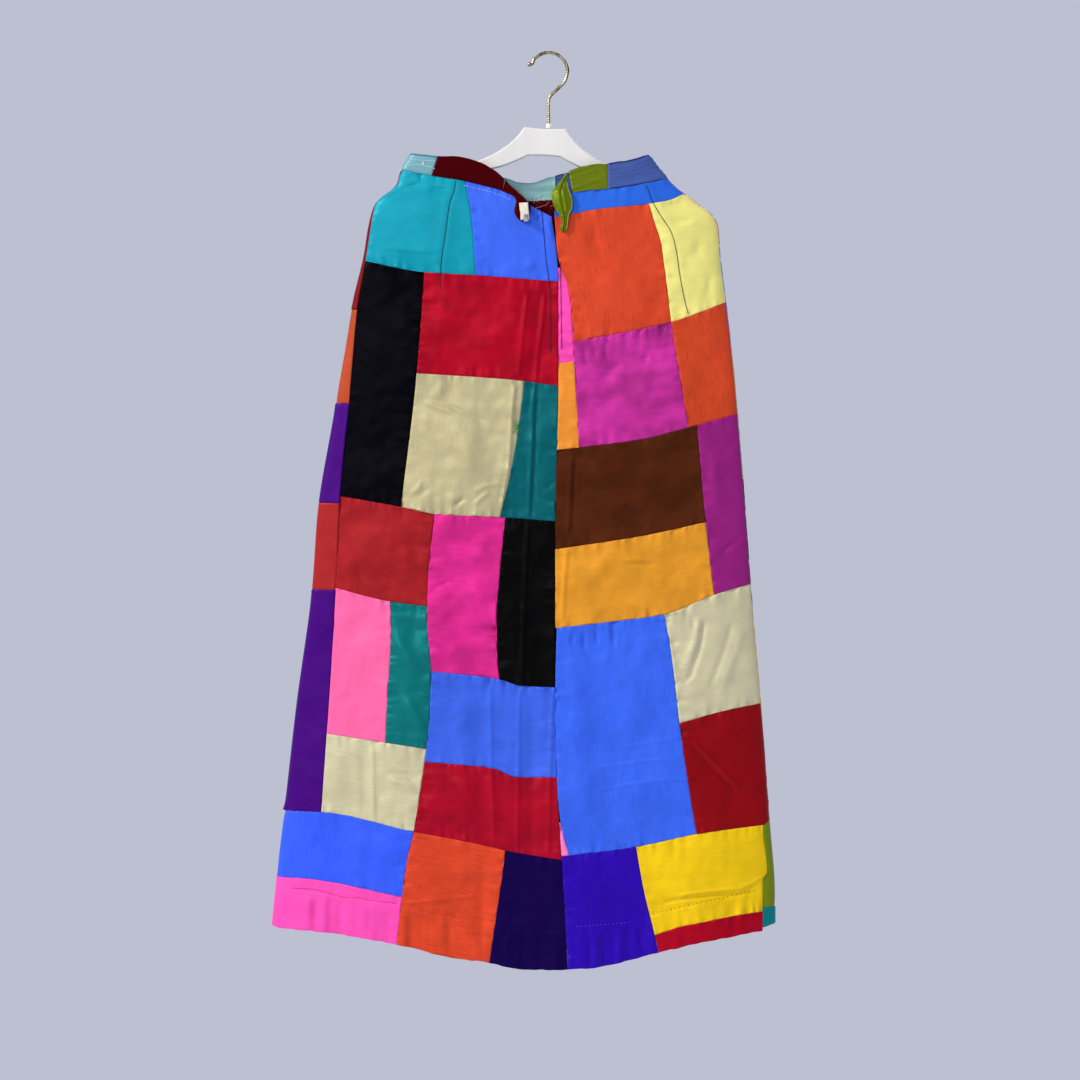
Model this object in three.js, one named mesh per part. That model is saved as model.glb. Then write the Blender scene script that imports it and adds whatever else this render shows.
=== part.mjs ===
// A patchwork skirt of slubby silk, hung by its waist on a contoured hanger.
// Millimetres, +Z up. The origin is the inside top of the hanger's hook.
// -Y is the skirt's back, with the open zip. The front panel wraps round its left side.
import * as THREE from 'three';

// Driving dimensions
const SILK = 1.2;               // a panel with its seam allowances pressed flat
const TAPE = 1.0;               // zip tape and cotton tape
const SEAM_GAP = 0.3;           // parting between two sewn pieces
const CELL = 36;                // usual side of a facet of cloth
const EDGE_POWER = 0.6;         // how squarely the flat section turns at its two sides
const HOOK_WIRE = 4.4;          // diameter of the hook's wire
const HANGER_THICK = 11;        // thickness of the hanger's plate and arms
const HANGER_TILT = THREE.MathUtils.degToRad(2.2);
const FERRULE = { top: -87, foot: -92.2, radius: 3.4 };
const RIM_STOPS = [-0.17, 0, 0.17];   // turns beside each side edge where the facets always stop
const ZIP = { top: -214, closed: -266, foot: -405, width: 12, sunk: 2.4 };

// The hung skirt's level sections
const SECTIONS = [
  // z, left, right, backDepth, frontDepth
  [-120, -169, 122, 15, 17],
  [-152, -187, 147, 17, 19],
  [-162, -189, 156, 18, 19],
  [-171, -198, 166, 19, 20],
  [-179, -209, 177, 20, 20],
  [-190, -218, 191, 21, 21],
  [-202, -222, 206, 22, 22],
  [-215, -225, 213, 22, 22],
  [-252, -231, 216, 22, 22],
  [-308, -244, 223, 21, 22],
  [-358, -252, 229, 21, 23],
  [-450, -268, 238, 21, 24],
  [-578, -289, 248, 22, 26],
  [-663, -295, 254, 23, 28],
  [-813, -315, 267, 25, 31],
  [-963, -332, 278, 28, 34],
  [-1040, -341, 284, 30, 36],
  [-1090, -346, 285, 31, 38],
  [-1143, -350, 285, 32, 39],
];

// Soft folds that grow from nothing at their head to their full depth at the hem
const FOLDS = [
  // side, headX, headZ, footX, footZ, halfWidth, depth
  ['back', -130, -560, -215, -1120, 46, 4],
  ['back', -60, -520, -95, -1130, 40, -3],
  ['back', 10, -480, 22, -1143, 36, 4],
  ['back', 80, -560, 120, -1120, 40, -4],
  ['back', 150, -560, 205, -1100, 40, 4],
  ['front', -130, -520, -210, -1120, 46, 7],
  ['front', -60, -600, -110, -1130, 40, -5],
  ['front', 0, -520, -10, -1140, 46, 8],
  ['front', 70, -620, 90, -1140, 40, -5],
  ['front', 130, -560, 180, -1110, 40, 7],
];

// Seams and edges that run across the skirt, each a list of (x, z)
const ACROSS = {
  band_top_left: [[-185, -120], [-174, -124], [-138, -128], [-115, -129], [-90, -135], [-73, -143],
    [-53, -159], [-39, -175]],
  band_top_right: [[20, -151], [29, -146], [38, -143], [52, -140], [74, -138], [105, -132], [126, -126],
    [140, -121]],
  band_top_front: [[-185, -121], [-172, -125], [-122, -136], [-57, -153], [-24, -160], [10, -150],
    [29, -146], [65, -138], [109, -130], [128, -126], [140, -122]],
  waist_left: [[-200, -142], [-185, -145], [-146, -153], [-105, -160], [-80, -166], [-53, -174], [-42, -180],
    [4, -205]],
  waist_right: [[6, -200], [31, -175], [52, -172], [75, -170], [115, -164], [149, -156], [170, -150]],
  waist_front: [[-200, -142], [-185, -146], [-122, -163], [-57, -178], [-24, -182], [2, -181], [29, -178],
    [67, -171], [121, -160], [149, -155], [170, -150]],
  yoke_left: [[-240, -257], [-155, -274], [-90, -278], [13, -286]],
  red_foot: [[-164, -400], [-39, -409], [13, -416]],
  middle_left: [[-275, -551], [-183, -567], [-142, -576], [-60, -580], [9, -585]],
  brick_foot: [[-280, -664], [-197, -685], [-151, -691]],
  fuchsia_foot: [[-146, -772], [-61, -782], [-34, -790], [9, -792]],
  pink_foot: [[-290, -848], [-203, -861], [-151, -869]],
  cornflower_foot: [[-152, -885], [-69, -893], [-38, -904], [10, -904]],
  lower_left: [[-345, -946], [-283, -948], [-167, -972], [-98, -985], [-53, -995], [17, -1007]],
  royal_foot: [[-345, -1029], [-302, -1031], [-271, -1035], [-182, -1053]],
  hem_left: [[-346, -1091], [-329, -1093], [-306, -1095], [-188, -1112], [-129, -1127], [-74, -1135],
    [-29, -1143], [25, -1143]],
  strip_foot: [[8, -206], [32, -201], [65, -195], [124, -189], [154, -183], [180, -168]],
  pink_top: [[10, -269], [40, -269]],
  upper_right: [[32, -361], [154, -336], [240, -304]],
  pink_edge_foot: [[10, -388], [40, -385]],
  middle_right: [[12, -496], [39, -493], [115, -483], [175, -468], [250, -447]],
  brown_foot: [[9, -620], [119, -603], [197, -586]],
  mango_foot: [[11, -718], [81, -710], [145, -701], [207, -677], [270, -659]],
  cream_foot: [[164, -837], [218, -822], [280, -810]],
  low_pink_top: [[5, -960], [30, -960]],
  lower_right: [[17, -1002], [55, -998], [110, -991], [185, -975], [290, -962]],
  yellow_foot: [[133, -1101], [165, -1090], [190, -1085], [225, -1078], [285, -1070]],
  hem_right: [[25, -1143], [64, -1140], [99, -1133], [137, -1123], [196, -1109], [259, -1098], [285, -1094]],
  front_1: [[-260, -320], [230, -330]],
  front_2: [[-270, -437], [240, -448]],
  front_3: [[-280, -562], [250, -575]],
  front_4: [[-300, -670], [260, -684]],
  olive_top: [[100, -930], [290, -915]],
  olive_foot: [[100, -1078], [290, -1066]],
  hem_front: [[-306, -1095], [-188, -1112], [-74, -1122], [25, -1126], [137, -1113],
    [268, -1092], [290, -1086]],
};

// Seams and edges that run down the skirt, each a list of (x, z)
const DOWN = {
  side_left: [[-168.5, -118], [-186.5, -152], [-188.5, -162], [-197.5, -171], [-208.5, -179], [-217, -190],
    [-219.5, -202], [-222, -217], [-227, -249], [-234, -289], [-239, -322], [-249, -437], [-260, -555],
    [-265, -668], [-275, -833], [-283, -948]],
  side_right: [[121.5, -118], [146.5, -152], [155.5, -162], [165.5, -171], [176.5, -179], [190.5, -190],
    [205.5, -202], [212.5, -215], [215.5, -252], [222.5, -308], [228.5, -358], [237.5, -450], [247.5, -578],
    [253.5, -663], [266.5, -813], [277, -959], [269, -966], [274, -1023], [268, -1033], [268, -1120]],
  band_seam_left: [[-137, -126], [-146, -155]],
  band_end_left: [[-53, -150], [-58, -180]],
  band_end_right: [[24, -135], [31, -180]],
  band_seam_right: [[74, -130], [75, -175]],
  turquoise_edge: [[-105, -155], [-96, -202], [-90, -280]],
  black_edge: [[-154, -268], [-164, -400], [-184, -570]],
  champagne_edge: [[-29, -405], [-37, -470], [-48, -531], [-61, -584]],
  column_left: [[-141, -570], [-150, -662], [-151, -707], [-146, -770], [-148, -831], [-154, -885],
    [-168, -976]],
  fuchsia_edge: [[-53, -577], [-60, -647], [-64, -703], [-63, -756], [-60, -786]],
  pink_seam: [[-197, -682], [-196, -722], [-201, -815], [-203, -864]],
  hem_seam_left: [[-166, -968], [-176, -1010], [-182, -1054], [-189, -1116]],
  hem_seam_right: [[-52, -990], [-62, -1060], [-74, -1140]],
  centre_left: [[4, -203], [11, -253], [13, -286], [13, -416], [9, -585], [9, -796], [11, -905],
    [17, -1007], [25, -1146]],
  opening_right: [[8, -200], [11, -245], [15, -266], [25, -293], [30, -333], [32, -371], [39, -497]],
  upper_column: [[125, -187], [133, -212], [141, -237], [145, -264], [154, -336], [176, -472]],
  brown_edge: [[186, -462], [197, -586], [208, -680]],
  royal_edge: [[144, -697], [152, -738], [164, -837], [173, -901], [186, -979]],
  low_pink_edge: [[11, -714], [9, -796], [11, -905], [14, -948], [19, -976], [28, -1006]],
  hem_column: [[109, -986], [119, -1043], [133, -1101], [139, -1128]],
  front_column_left: [[-95, -150], [-170, -600], [-225, -1130]],
  front_column_right: [[70, -150], [115, -600], [165, -1130]],
};

// The cut pieces of cloth; from and to follow the skirt round anticlockwise from its left back seam
const PIECES = [
  // name, colour, top, foot, from, to
  ['back_left_turquoise', 0x1ba0b4, 'waist_left', 'yoke_left', 'side_left', 'turquoise_edge'],
  ['back_left_blue', 0x4169ee, 'waist_left', 'yoke_left', 'turquoise_edge', 'centre_left'],
  ['back_left_black', 0x0e0e14, 'yoke_left', 'middle_left', 'side_left', 'black_edge'],
  ['back_left_red', 0xbe142d, 'yoke_left', 'red_foot', 'black_edge', 'centre_left'],
  ['back_left_champagne', 0xc8c096, 'red_foot', 'middle_left', 'black_edge', 'champagne_edge'],
  ['back_left_teal', 0x0f7882, 'red_foot', 'middle_left', 'champagne_edge', 'centre_left'],
  ['back_left_brick', 0xa0232a, 'middle_left', 'brick_foot', 'side_left', 'column_left'],
  ['back_left_fuchsia', 0xe42d91, 'middle_left', 'fuchsia_foot', 'column_left', 'fuchsia_edge'],
  ['back_left_jet', 0x05050c, 'middle_left', 'fuchsia_foot', 'fuchsia_edge', 'centre_left'],
  ['back_left_pink', 0xff69a5, 'brick_foot', 'pink_foot', 'side_left', 'pink_seam'],
  ['back_left_green', 0x0a7d6e, 'brick_foot', 'pink_foot', 'pink_seam', 'column_left'],
  ['back_left_cornflower', 0x4164e1, 'fuchsia_foot', 'cornflower_foot', 'column_left', 'centre_left'],
  ['back_left_cream', 0xcdc8aa, 'pink_foot', 'lower_left', 'side_left', 'column_left'],
  ['back_left_crimson', 0xaf0f28, 'cornflower_foot', 'lower_left', 'column_left', 'centre_left'],
  ['back_left_royal', 0x3c5ff5, 'lower_left', 'royal_foot', 'front_column_left', 'hem_seam_left'],
  ['back_left_rose', 0xfc52b4, 'royal_foot', 'hem_left', 'front_column_left', 'hem_seam_left'],
  ['back_left_orange', 0xd7482d, 'lower_left', 'hem_left', 'hem_seam_left', 'hem_seam_right'],
  ['back_left_indigo', 0x231255, 'lower_left', 'hem_left', 'hem_seam_right', 'centre_left'],
  ['back_right_blue', 0x3c6ee1, 'waist_right', 'strip_foot', 'opening_right', 'side_right'],
  ['back_right_vermilion', 0xd74b30, 'strip_foot', 'upper_right', 'opening_right', 'upper_column'],
  ['back_right_lemon', 0xe4da7d, 'strip_foot', 'upper_right', 'upper_column', 'side_right'],
  ['back_right_pink_edge', 0xff50b4, 'pink_top', 'pink_edge_foot', 'centre_left', 'opening_right'],
  ['back_right_orchid', 0xb9288c, 'upper_right', 'middle_right', 'opening_right', 'upper_column'],
  ['back_right_orange', 0xd44b2d, 'upper_right', 'middle_right', 'upper_column', 'side_right'],
  ['back_right_mango_edge', 0xf5a041, 'pink_edge_foot', 'middle_right', 'centre_left', 'opening_right'],
  ['back_right_brown', 0x4b2316, 'middle_right', 'brown_foot', 'centre_left', 'brown_edge'],
  ['back_right_purple', 0x912082, 'middle_right', 'mango_foot', 'brown_edge', 'side_right'],
  ['back_right_mango', 0xe49b37, 'brown_foot', 'mango_foot', 'centre_left', 'brown_edge'],
  ['back_right_royal', 0x3e69ee, 'mango_foot', 'lower_right', 'low_pink_edge', 'royal_edge'],
  ['back_right_champagne', 0xcdc8a5, 'mango_foot', 'cream_foot', 'royal_edge', 'side_right'],
  ['back_right_maroon', 0x8c191e, 'cream_foot', 'lower_right', 'royal_edge', 'side_right'],
  ['back_right_pink_foot', 0xff6496, 'low_pink_top', 'lower_right', 'centre_left', 'low_pink_edge'],
  ['back_right_violet', 0x3216aa, 'lower_right', 'hem_right', 'centre_left', 'hem_column'],
  ['back_right_yellow', 0xf0c828, 'lower_right', 'yellow_foot', 'hem_column', 'side_right'],
  ['back_right_red', 0xa50f26, 'yellow_foot', 'hem_right', 'hem_column', 'side_right'],
  ['front_wine', 0x6e0a19, 'waist_front', 'front_1', 'front_column_left', 'side_left'],
  ['front_orange', 0xdc5532, 'front_1', 'front_2', 'front_column_left', 'side_left'],
  ['front_purple', 0x4b0f87, 'front_2', 'front_3', 'front_column_left', 'side_left'],
  ['front_red', 0xb2262a, 'front_3', 'front_4', 'front_column_left', 'side_left'],
  ['front_aubergine', 0x460c78, 'front_4', 'lower_left', 'front_column_left', 'side_left'],
  ['front_middle', 0x1ba0b4, 'waist_front', 'hem_front', 'front_column_right', 'front_column_left'],
  ['front_right', 0xb9288c, 'waist_front', 'olive_top', 'side_right', 'front_column_right'],
  ['front_olive', 0x73821e, 'olive_top', 'olive_foot', 'side_right', 'front_column_right'],
  ['front_teal', 0x14787d, 'olive_foot', 'hem_front', 'side_right', 'front_column_right'],
  ['band_aqua', 0x8fc0c0, 'band_top_left', 'waist_left', 'side_left', 'band_seam_left'],
  ['band_burgundy', 0x40000c, 'band_top_left', 'waist_left', 'band_seam_left', 'band_end_left'],
  ['band_olive', 0x727f18, 'band_top_right', 'waist_right', 'band_end_right', 'band_seam_right'],
  ['band_slate', 0x526498, 'band_top_right', 'waist_right', 'band_seam_right', 'side_right'],
  ['band_front', 0x8fc0c0, 'band_top_front', 'waist_front', 'side_right', 'side_left'],
];

// Loose ends of the waistband and its tape, from the left edge (a) to the right edge (b) of each row.
// Columns: ax, az, bx, bz, lift above the skirt's back
const STRIPS = {
  band_burgundy_end: {
    colour: 0x40000c,
    thickness: SILK,
    rows: [
      [-55.5, -173, -52.5, -159.5, 0.4],
      [-44, -179, -38, -174, 3.6],
      [-40, -186, -30, -181.5, 4.8],
      [-42, -198, -21.5, -193.5, 5.2],
      [-39, -206, -22.5, -203, 5.1],
      [-33, -212, -29, -211, 4.6],
    ],
  },
  band_olive_end: {
    colour: 0x727f18,
    thickness: SILK,
    rows: [
      [17, -158, 23.5, -159, 1.6],
      [10, -167, 25, -168, 3.6],
      [4.5, -176, 28, -177, 4.8],
      [5, -185, 30.5, -186, 5.4],
      [8.5, -195, 30, -195, 5.4],
      [15, -205, 26, -204, 5.2],
      [17, -213, 25, -212, 4.9],
      [15, -219, 24, -219.5, 4.7],
      [17.5, -225, 20.5, -225, 4.5],
    ],
  },
  band_tape: {
    colour: 0xf0f0ee,
    thickness: TAPE,
    rows: [
      [-36, -188.5, -25, -188, 8.0],
      [-34, -210, -23, -209, 7.6],
    ],
  },
};

const clamp = THREE.MathUtils.clamp;
const mix = THREE.MathUtils.lerp;
const smooth = (t) => THREE.MathUtils.smoothstep(t, 0, 1);

// Reads a table of [key, value...] rows at a key, straight between rows
function read(rows, key, column, keyColumn = 0) {
  const rising = rows[0][keyColumn] < rows[rows.length - 1][keyColumn];
  const ordered = rising ? rows : [...rows].reverse();
  let i = 1;
  while (i < ordered.length - 1 && key > ordered[i][keyColumn]) i += 1;
  const [a, b] = [ordered[i - 1], ordered[i]];
  const t = (key - a[keyColumn]) / (b[keyColumn] - a[keyColumn]);
  return mix(a[column], b[column], t);
}

const across = (name, x) => read(ACROSS[name], x, 1, 0);
const down = (name, z) => read(DOWN[name], z, 0, 1);

function section(z) {
  const at = clamp(z, -1143, -120);
  const left = read(SECTIONS, at, 1);
  const right = read(SECTIONS, at, 2);
  return {
    centre: (left + right) / 2,
    half: (right - left) / 2,
    back: read(SECTIONS, at, 3),
    front: read(SECTIONS, at, 4),
  };
}

function foldDepth(side, x, z) {
  let depth = 0;
  for (const [fold, headX, headZ, footX, footZ, halfWidth, full] of FOLDS) {
    const t = (z - headZ) / (footZ - headZ);
    if (fold === side && t > 0) {
      const offset = (x - mix(headX, footX, t)) / halfWidth;
      depth += full * smooth(t) * Math.exp(-offset * offset);
    }
  }
  return depth;
}

// A point of the cloth's outer face, by its turn round the section and its height
function clothPoint(turn, z, lift = 0) {
  const { centre, half, back, front } = section(z);
  const sine = Math.sin(turn);
  const cosine = Math.cos(turn);
  const side = cosine > 0 ? 'back' : 'front';
  const full = side === 'back' ? back : front;
  const x = centre + half * sine;
  const depth = full * Math.abs(cosine) ** EDGE_POWER + foldDepth(side, x, z) * (1 - sine ** 8) + lift;
  return new THREE.Vector3(x, side === 'back' ? -depth : depth, z);
}

function clothNormal(turn, z) {
  const step = 0.004;
  const round = clothPoint(turn + step, z).sub(clothPoint(turn - step, z));
  const fall = clothPoint(turn, z - 2).sub(clothPoint(turn, z + 2));
  return fall.cross(round).normalize();
}

// The turn at which a seam lies. Front pieces start at the right side seam and end at the left one.
// A back piece that starts on the front, round the left side, starts before that side's turn.
function turnAt(x, z, side) {
  const { centre, half } = section(z);
  const turn = Math.asin(clamp((x - centre) / half, -1, 1));
  if (side === 'front') return Math.PI - turn;
  if (side === 'before') return -Math.PI - turn;
  return side === 'wrap' ? 2 * Math.PI + turn : turn;
}

const isFront = (pieceName) => pieceName.startsWith('front_') || pieceName === 'band_front';

function sideOf(pieceName, seam) {
  if (seam.startsWith('front_')) return isFront(pieceName) ? 'front' : 'before';
  return isFront(pieceName) && seam === 'side_left' ? 'wrap' : 'back';
}

// Even steps from 0 to 1 that also stop at every bend of the piece's edges
function stops(cells, bends) {
  const all = [0, 1, ...bends.filter((bend) => bend > 0.01 && bend < 0.99)];
  for (let i = 1; i < cells; i += 1) {
    const at = i / cells;
    if (all.every((other) => Math.abs(other - at) > 0.4 / cells)) all.push(at);
  }
  return all.sort((a, b) => a - b);
}

// A closed wall between a grid of outer points and the same grid moved in by its thickness
function wallGeometry(outer, normals, thickness) {
  const rows = outer.length;
  const columns = outer[0].length;
  const movedIn = (point, j, i) => point.clone().addScaledVector(normals[j][i], -thickness);
  const inner = outer.map((row, j) => row.map((point, i) => movedIn(point, j, i)));
  const positions = [...outer.flat(), ...inner.flat()].flatMap((point) => point.toArray());
  const index = [];
  const quad = (a, b, c, d) => index.push(a, b, c, a, c, d);
  const out = (j, i) => j * columns + i;
  const inn = (j, i) => rows * columns + j * columns + i;
  for (let j = 0; j < rows - 1; j += 1) {
    for (let i = 0; i < columns - 1; i += 1) {
      quad(out(j, i), out(j + 1, i), out(j + 1, i + 1), out(j, i + 1));
      quad(inn(j, i), inn(j, i + 1), inn(j + 1, i + 1), inn(j + 1, i));
    }
    quad(out(j, 0), inn(j, 0), inn(j + 1, 0), out(j + 1, 0));
    quad(out(j, columns - 1), out(j + 1, columns - 1), inn(j + 1, columns - 1), inn(j, columns - 1));
  }
  for (let i = 0; i < columns - 1; i += 1) {
    quad(out(0, i), out(0, i + 1), inn(0, i + 1), inn(0, i));
    quad(out(rows - 1, i), inn(rows - 1, i), inn(rows - 1, i + 1), out(rows - 1, i + 1));
  }
  const geometry = new THREE.BufferGeometry();
  geometry.setAttribute('position', new THREE.Float32BufferAttribute(positions, 3));
  geometry.setIndex(index);
  geometry.computeVertexNormals();
  return geometry;
}

function solid(name, geometry, colour, roughness = 0.55, metalness = 0) {
  const material = new THREE.MeshStandardMaterial({ color: colour, roughness, metalness });
  const mesh = new THREE.Mesh(geometry, material);
  mesh.name = name;
  return mesh;
}

function clothPiece([name, colour, top, foot, from, to]) {
  const half = SEAM_GAP / 2;
  const fromSide = sideOf(name, from);
  const toSide = sideOf(name, to);
  const fromShift = fromSide === 'front' || fromSide === 'before' ? -half : half;
  const toShift = toSide === 'front' ? half : -half;
  const start = (z) => turnAt(down(from, z) + fromShift, z, fromSide);
  const end = (z) => turnAt(down(to, z) + toShift, z, toSide);
  const topZ = (x) => across(top, x) - half;
  const footZ = (x) => across(foot, x) + half;

  // Where a share s of the way round and a share t of the way down falls
  const settle = (s, t) => {
    let z = (ACROSS[top][0][1] + ACROSS[foot][0][1]) / 2;
    let turn = 0;
    for (let i = 0; i < 30; i += 1) {
      turn = mix(start(z), end(z), s);
      const x = clothPoint(turn, z).x;
      z = mix(topZ(x), footZ(x), t);
    }
    return { turn: mix(start(z), end(z), s), z };
  };
  const corner = (s, t) => {
    const { turn, z } = settle(s, t);
    return clothPoint(turn, z);
  };

  const bendSide = isFront(name) ? 'front' : 'back';
  const columnBends = [...ACROSS[top], ...ACROSS[foot]].map(([x, z]) => {
    const turn = turnAt(x, z, bendSide);
    return (turn - start(z)) / (end(z) - start(z));
  });
  const midZ = settle(0.5, 0.5).z;
  for (const edge of [-0.5 * Math.PI, 0.5 * Math.PI, 1.5 * Math.PI]) {
    columnBends.push(...RIM_STOPS.map((rim) => (edge + rim - start(midZ)) / (end(midZ) - start(midZ))));
  }
  const rowBends = [...DOWN[from], ...DOWN[to]].map(([x, z]) => (z - topZ(x)) / (footZ(x) - topZ(x)));
  const height = Math.max(corner(0, 0).distanceTo(corner(0, 1)), corner(1, 0).distanceTo(corner(1, 1)));
  const middle = [0, 0.25, 0.5, 0.75, 1].map((s) => corner(s, 0.5));
  const width = middle.slice(1).reduce((sum, point, i) => sum + point.distanceTo(middle[i]), 0);
  const columns = stops(Math.ceil(width / CELL), columnBends);
  const rows = stops(Math.ceil(height / CELL), rowBends);

  const grid = rows.map((t) => columns.map((s) => settle(s, t)));
  const outer = grid.map((row) => row.map(({ turn, z }) => clothPoint(turn, z)));
  const normals = grid.map((row) => row.map(({ turn, z }) => clothNormal(turn, z)));
  return solid(name, wallGeometry(outer, normals, SILK), colour);
}

const facingViewer = (grid) => grid.map((row) => row.map(() => new THREE.Vector3(0, -1, 0)));

// A strip that follows the skirt's back at a height above it
function stripPiece(name, { colour, thickness, rows }) {
  const steps = 2;
  const lines = [];
  for (let k = 0; k < (rows.length - 1) * steps + 1; k += 1) {
    const j = Math.min(Math.floor(k / steps), rows.length - 2);
    const t = k / steps - j;
    lines.push(rows[j].map((value, column) => mix(value, rows[j + 1][column], t)));
  }
  const share = [0, 0.5, 1];
  const places = lines.map(([ax, az, bx, bz, lift]) => share.map((s) => {
    const z = mix(az, bz, s);
    return { turn: turnAt(mix(ax, bx, s), z, 'back'), z, lift };
  }));
  const outer = places.map((row) => row.map(({ turn, z, lift }) => clothPoint(turn, z, lift)));
  return solid(name, wallGeometry(outer, facingViewer(outer), thickness), colour);
}

// The zip's two tapes lie behind the edges of the opening and behind the seam below it
function zipTape(name, seam, toward) {
  const closed = (ZIP.closed - ZIP.top) / (ZIP.foot - ZIP.top);
  const rows = stops(8, [closed]).map((t) => mix(ZIP.top, ZIP.foot, t));
  const near = (z) => down(z < ZIP.closed ? 'centre_left' : seam, z) + toward * SEAM_GAP;
  const edges = toward < 0 ? [1, 0] : [0, 1];
  const outer = rows.map((z) => edges.map((s) => {
    const x = near(z) + toward * s * ZIP.width;
    return clothPoint(turnAt(x, z, 'back'), z, -ZIP.sunk);
  }));
  return solid(name, wallGeometry(outer, facingViewer(outer), TAPE), 0x2a1c24, 0.8);
}

// A small hook of bent flat metal that fastens the band's end
function bandHook() {
  const profile = new THREE.Shape([
    new THREE.Vector2(0, 0),
    new THREE.Vector2(0, -9),
    new THREE.Vector2(3.2, -9),
    new THREE.Vector2(3.2, -4.5),
    new THREE.Vector2(2.3, -4.5),
    new THREE.Vector2(2.3, -8.1),
    new THREE.Vector2(0.9, -8.1),
    new THREE.Vector2(0.9, 0),
  ]);
  const geometry = new THREE.ExtrudeGeometry(profile, { depth: 6, bevelEnabled: false });
  const mesh = solid('band_hook', geometry, 0xc9c4b8, 0.3, 0.9);
  const bandFace = clothPoint(turnAt(-28, -205, 'back'), -205, 8.2).y;
  // The profile's x runs towards the viewer and its y up, and it is as wide as the extrusion is deep
  mesh.matrixAutoUpdate = false;
  const towardViewer = new THREE.Vector3(0, -1, 0);
  mesh.matrix.makeBasis(towardViewer, new THREE.Vector3(0, 0, 1), new THREE.Vector3(-1, 0, 0));
  mesh.matrix.setPosition(-24.5, bandFace, -203);
  mesh.matrix.decompose(mesh.position, mesh.quaternion, mesh.scale);
  mesh.matrixAutoUpdate = true;
  return mesh;
}

// The hanger's plate and arms, half of the outline, from the top of the plate to the foot
const HANGER_HALF = [
  // x, z
  [26, -92.6],
  [36, -106],
  [53, -121],
  [80, -136],
  [135, -154],
  [178, -173],
  [195, -186],
  [203, -194],
  [205, -201],
  [200, -208],
  [190, -204],
  [160, -187],
  [110, -166],
  [72, -149],
  [50, -142],
  [34, -135],
  [20, -128],
];

function hangerBody() {
  const right = HANGER_HALF.map(([x, z]) => new THREE.Vector2(x, z));
  const left = HANGER_HALF.map(([x, z]) => new THREE.Vector2(-x, z)).reverse();
  const outline = new THREE.Shape([...left, ...right]);
  const bevel = 2.5;
  const geometry = new THREE.ExtrudeGeometry(outline, {
    depth: HANGER_THICK - 2 * bevel,
    bevelEnabled: true,
    bevelThickness: bevel,
    bevelSize: 1.5,
    bevelOffset: -1.5,
    bevelSegments: 1,
  });
  geometry.translate(0, 0, bevel - HANGER_THICK / 2);
  geometry.rotateX(Math.PI / 2);
  geometry.rotateY(HANGER_TILT);
  return solid('hanger_body', geometry, 0xf1f0ee, 0.35);
}

function hangerFerrule() {
  const { top, foot, radius } = FERRULE;
  const profile = [[0, foot], [radius, foot], [radius, top - 1.2], [radius - 1, top], [0, top]];
  const points = profile.map(([r, z]) => new THREE.Vector2(r, z));
  const geometry = new THREE.LatheGeometry(points, 20);
  geometry.rotateX(Math.PI / 2);
  geometry.translate(1, 0, 0);
  return solid('hanger_ferrule', geometry, 0xf4f4f2, 0.4);
}

// The hook's wire: a straight shank, a knee to the right and a bend over the rail
function hangerHook() {
  const wire = HOOK_WIRE / 2;
  const bend = { x: 1, z: -21.4, radius: 23.6 };
  const knee = [[1, -86.6], [1, -72], [1, -58], [3.6, -51.6], [12, -43.5], [21, -34]];
  const points = knee.map(([x, z]) => new THREE.Vector3(x, 0, z));
  for (let degrees = 0; degrees <= 140; degrees += 20) {
    const angle = THREE.MathUtils.degToRad(degrees);
    const x = bend.x + bend.radius * Math.cos(angle);
    points.push(new THREE.Vector3(x, 0, bend.z + bend.radius * Math.sin(angle)));
  }
  points.push(new THREE.Vector3(-20, 0, -12), new THREE.Vector3(-25.4, 0, -12.6));
  const route = new THREE.CatmullRomCurve3(points, false, 'centripetal');
  const round = new THREE.Shape().absarc(0, 0, wire, 0, 2 * Math.PI);
  const geometry = new THREE.ExtrudeGeometry(round, { steps: 44, curveSegments: 5, extrudePath: route });
  return solid('hanger_hook', geometry, 0xb9a98a, 0.3, 0.9);
}

const skirt = new THREE.Group();
PIECES.forEach((piece) => skirt.add(clothPiece(piece)));
Object.entries(STRIPS).forEach(([name, strip]) => skirt.add(stripPiece(name, strip)));
skirt.add(zipTape('zip_left', 'centre_left', -1), zipTape('zip_right', 'opening_right', 1));
skirt.add(bandHook(), hangerBody(), hangerFerrule(), hangerHook());

export default skirt;
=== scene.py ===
import math
import zlib

import bpy
import numpy as np
from mathutils import Matrix, Vector
from mathutils.bvhtree import BVHTree


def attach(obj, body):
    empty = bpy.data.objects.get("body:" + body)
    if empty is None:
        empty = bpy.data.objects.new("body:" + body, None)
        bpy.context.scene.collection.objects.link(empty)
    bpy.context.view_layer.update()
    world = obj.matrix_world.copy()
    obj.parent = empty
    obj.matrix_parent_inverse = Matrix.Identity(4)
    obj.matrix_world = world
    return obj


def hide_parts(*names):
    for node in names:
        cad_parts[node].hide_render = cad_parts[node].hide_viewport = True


# A patchwork skirt of slubby silk, hung by its waist on a white hanger.
# Lengths are millimetres in the frame's axes, with the viewer on the -Y side, facing the skirt's back.
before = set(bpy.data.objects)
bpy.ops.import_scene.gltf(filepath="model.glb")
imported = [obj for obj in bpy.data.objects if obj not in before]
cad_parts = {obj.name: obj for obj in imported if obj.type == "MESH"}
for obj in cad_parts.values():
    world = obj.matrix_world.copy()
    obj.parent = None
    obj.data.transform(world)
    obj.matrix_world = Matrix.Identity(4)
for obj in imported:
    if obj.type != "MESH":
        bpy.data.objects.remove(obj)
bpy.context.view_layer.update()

MM = 0.001
SILK = 1.2  # thickness of a panel
BAND = 1.9  # thickness of the folded waistband
SEAM_GAP = 0.1
EDGE_POWER = 0.6  # how squarely the flat section turns at its two sides
CELL = 2.0  # side of a cell of the back's cloth
BAND_CELL = 1.3
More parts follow.
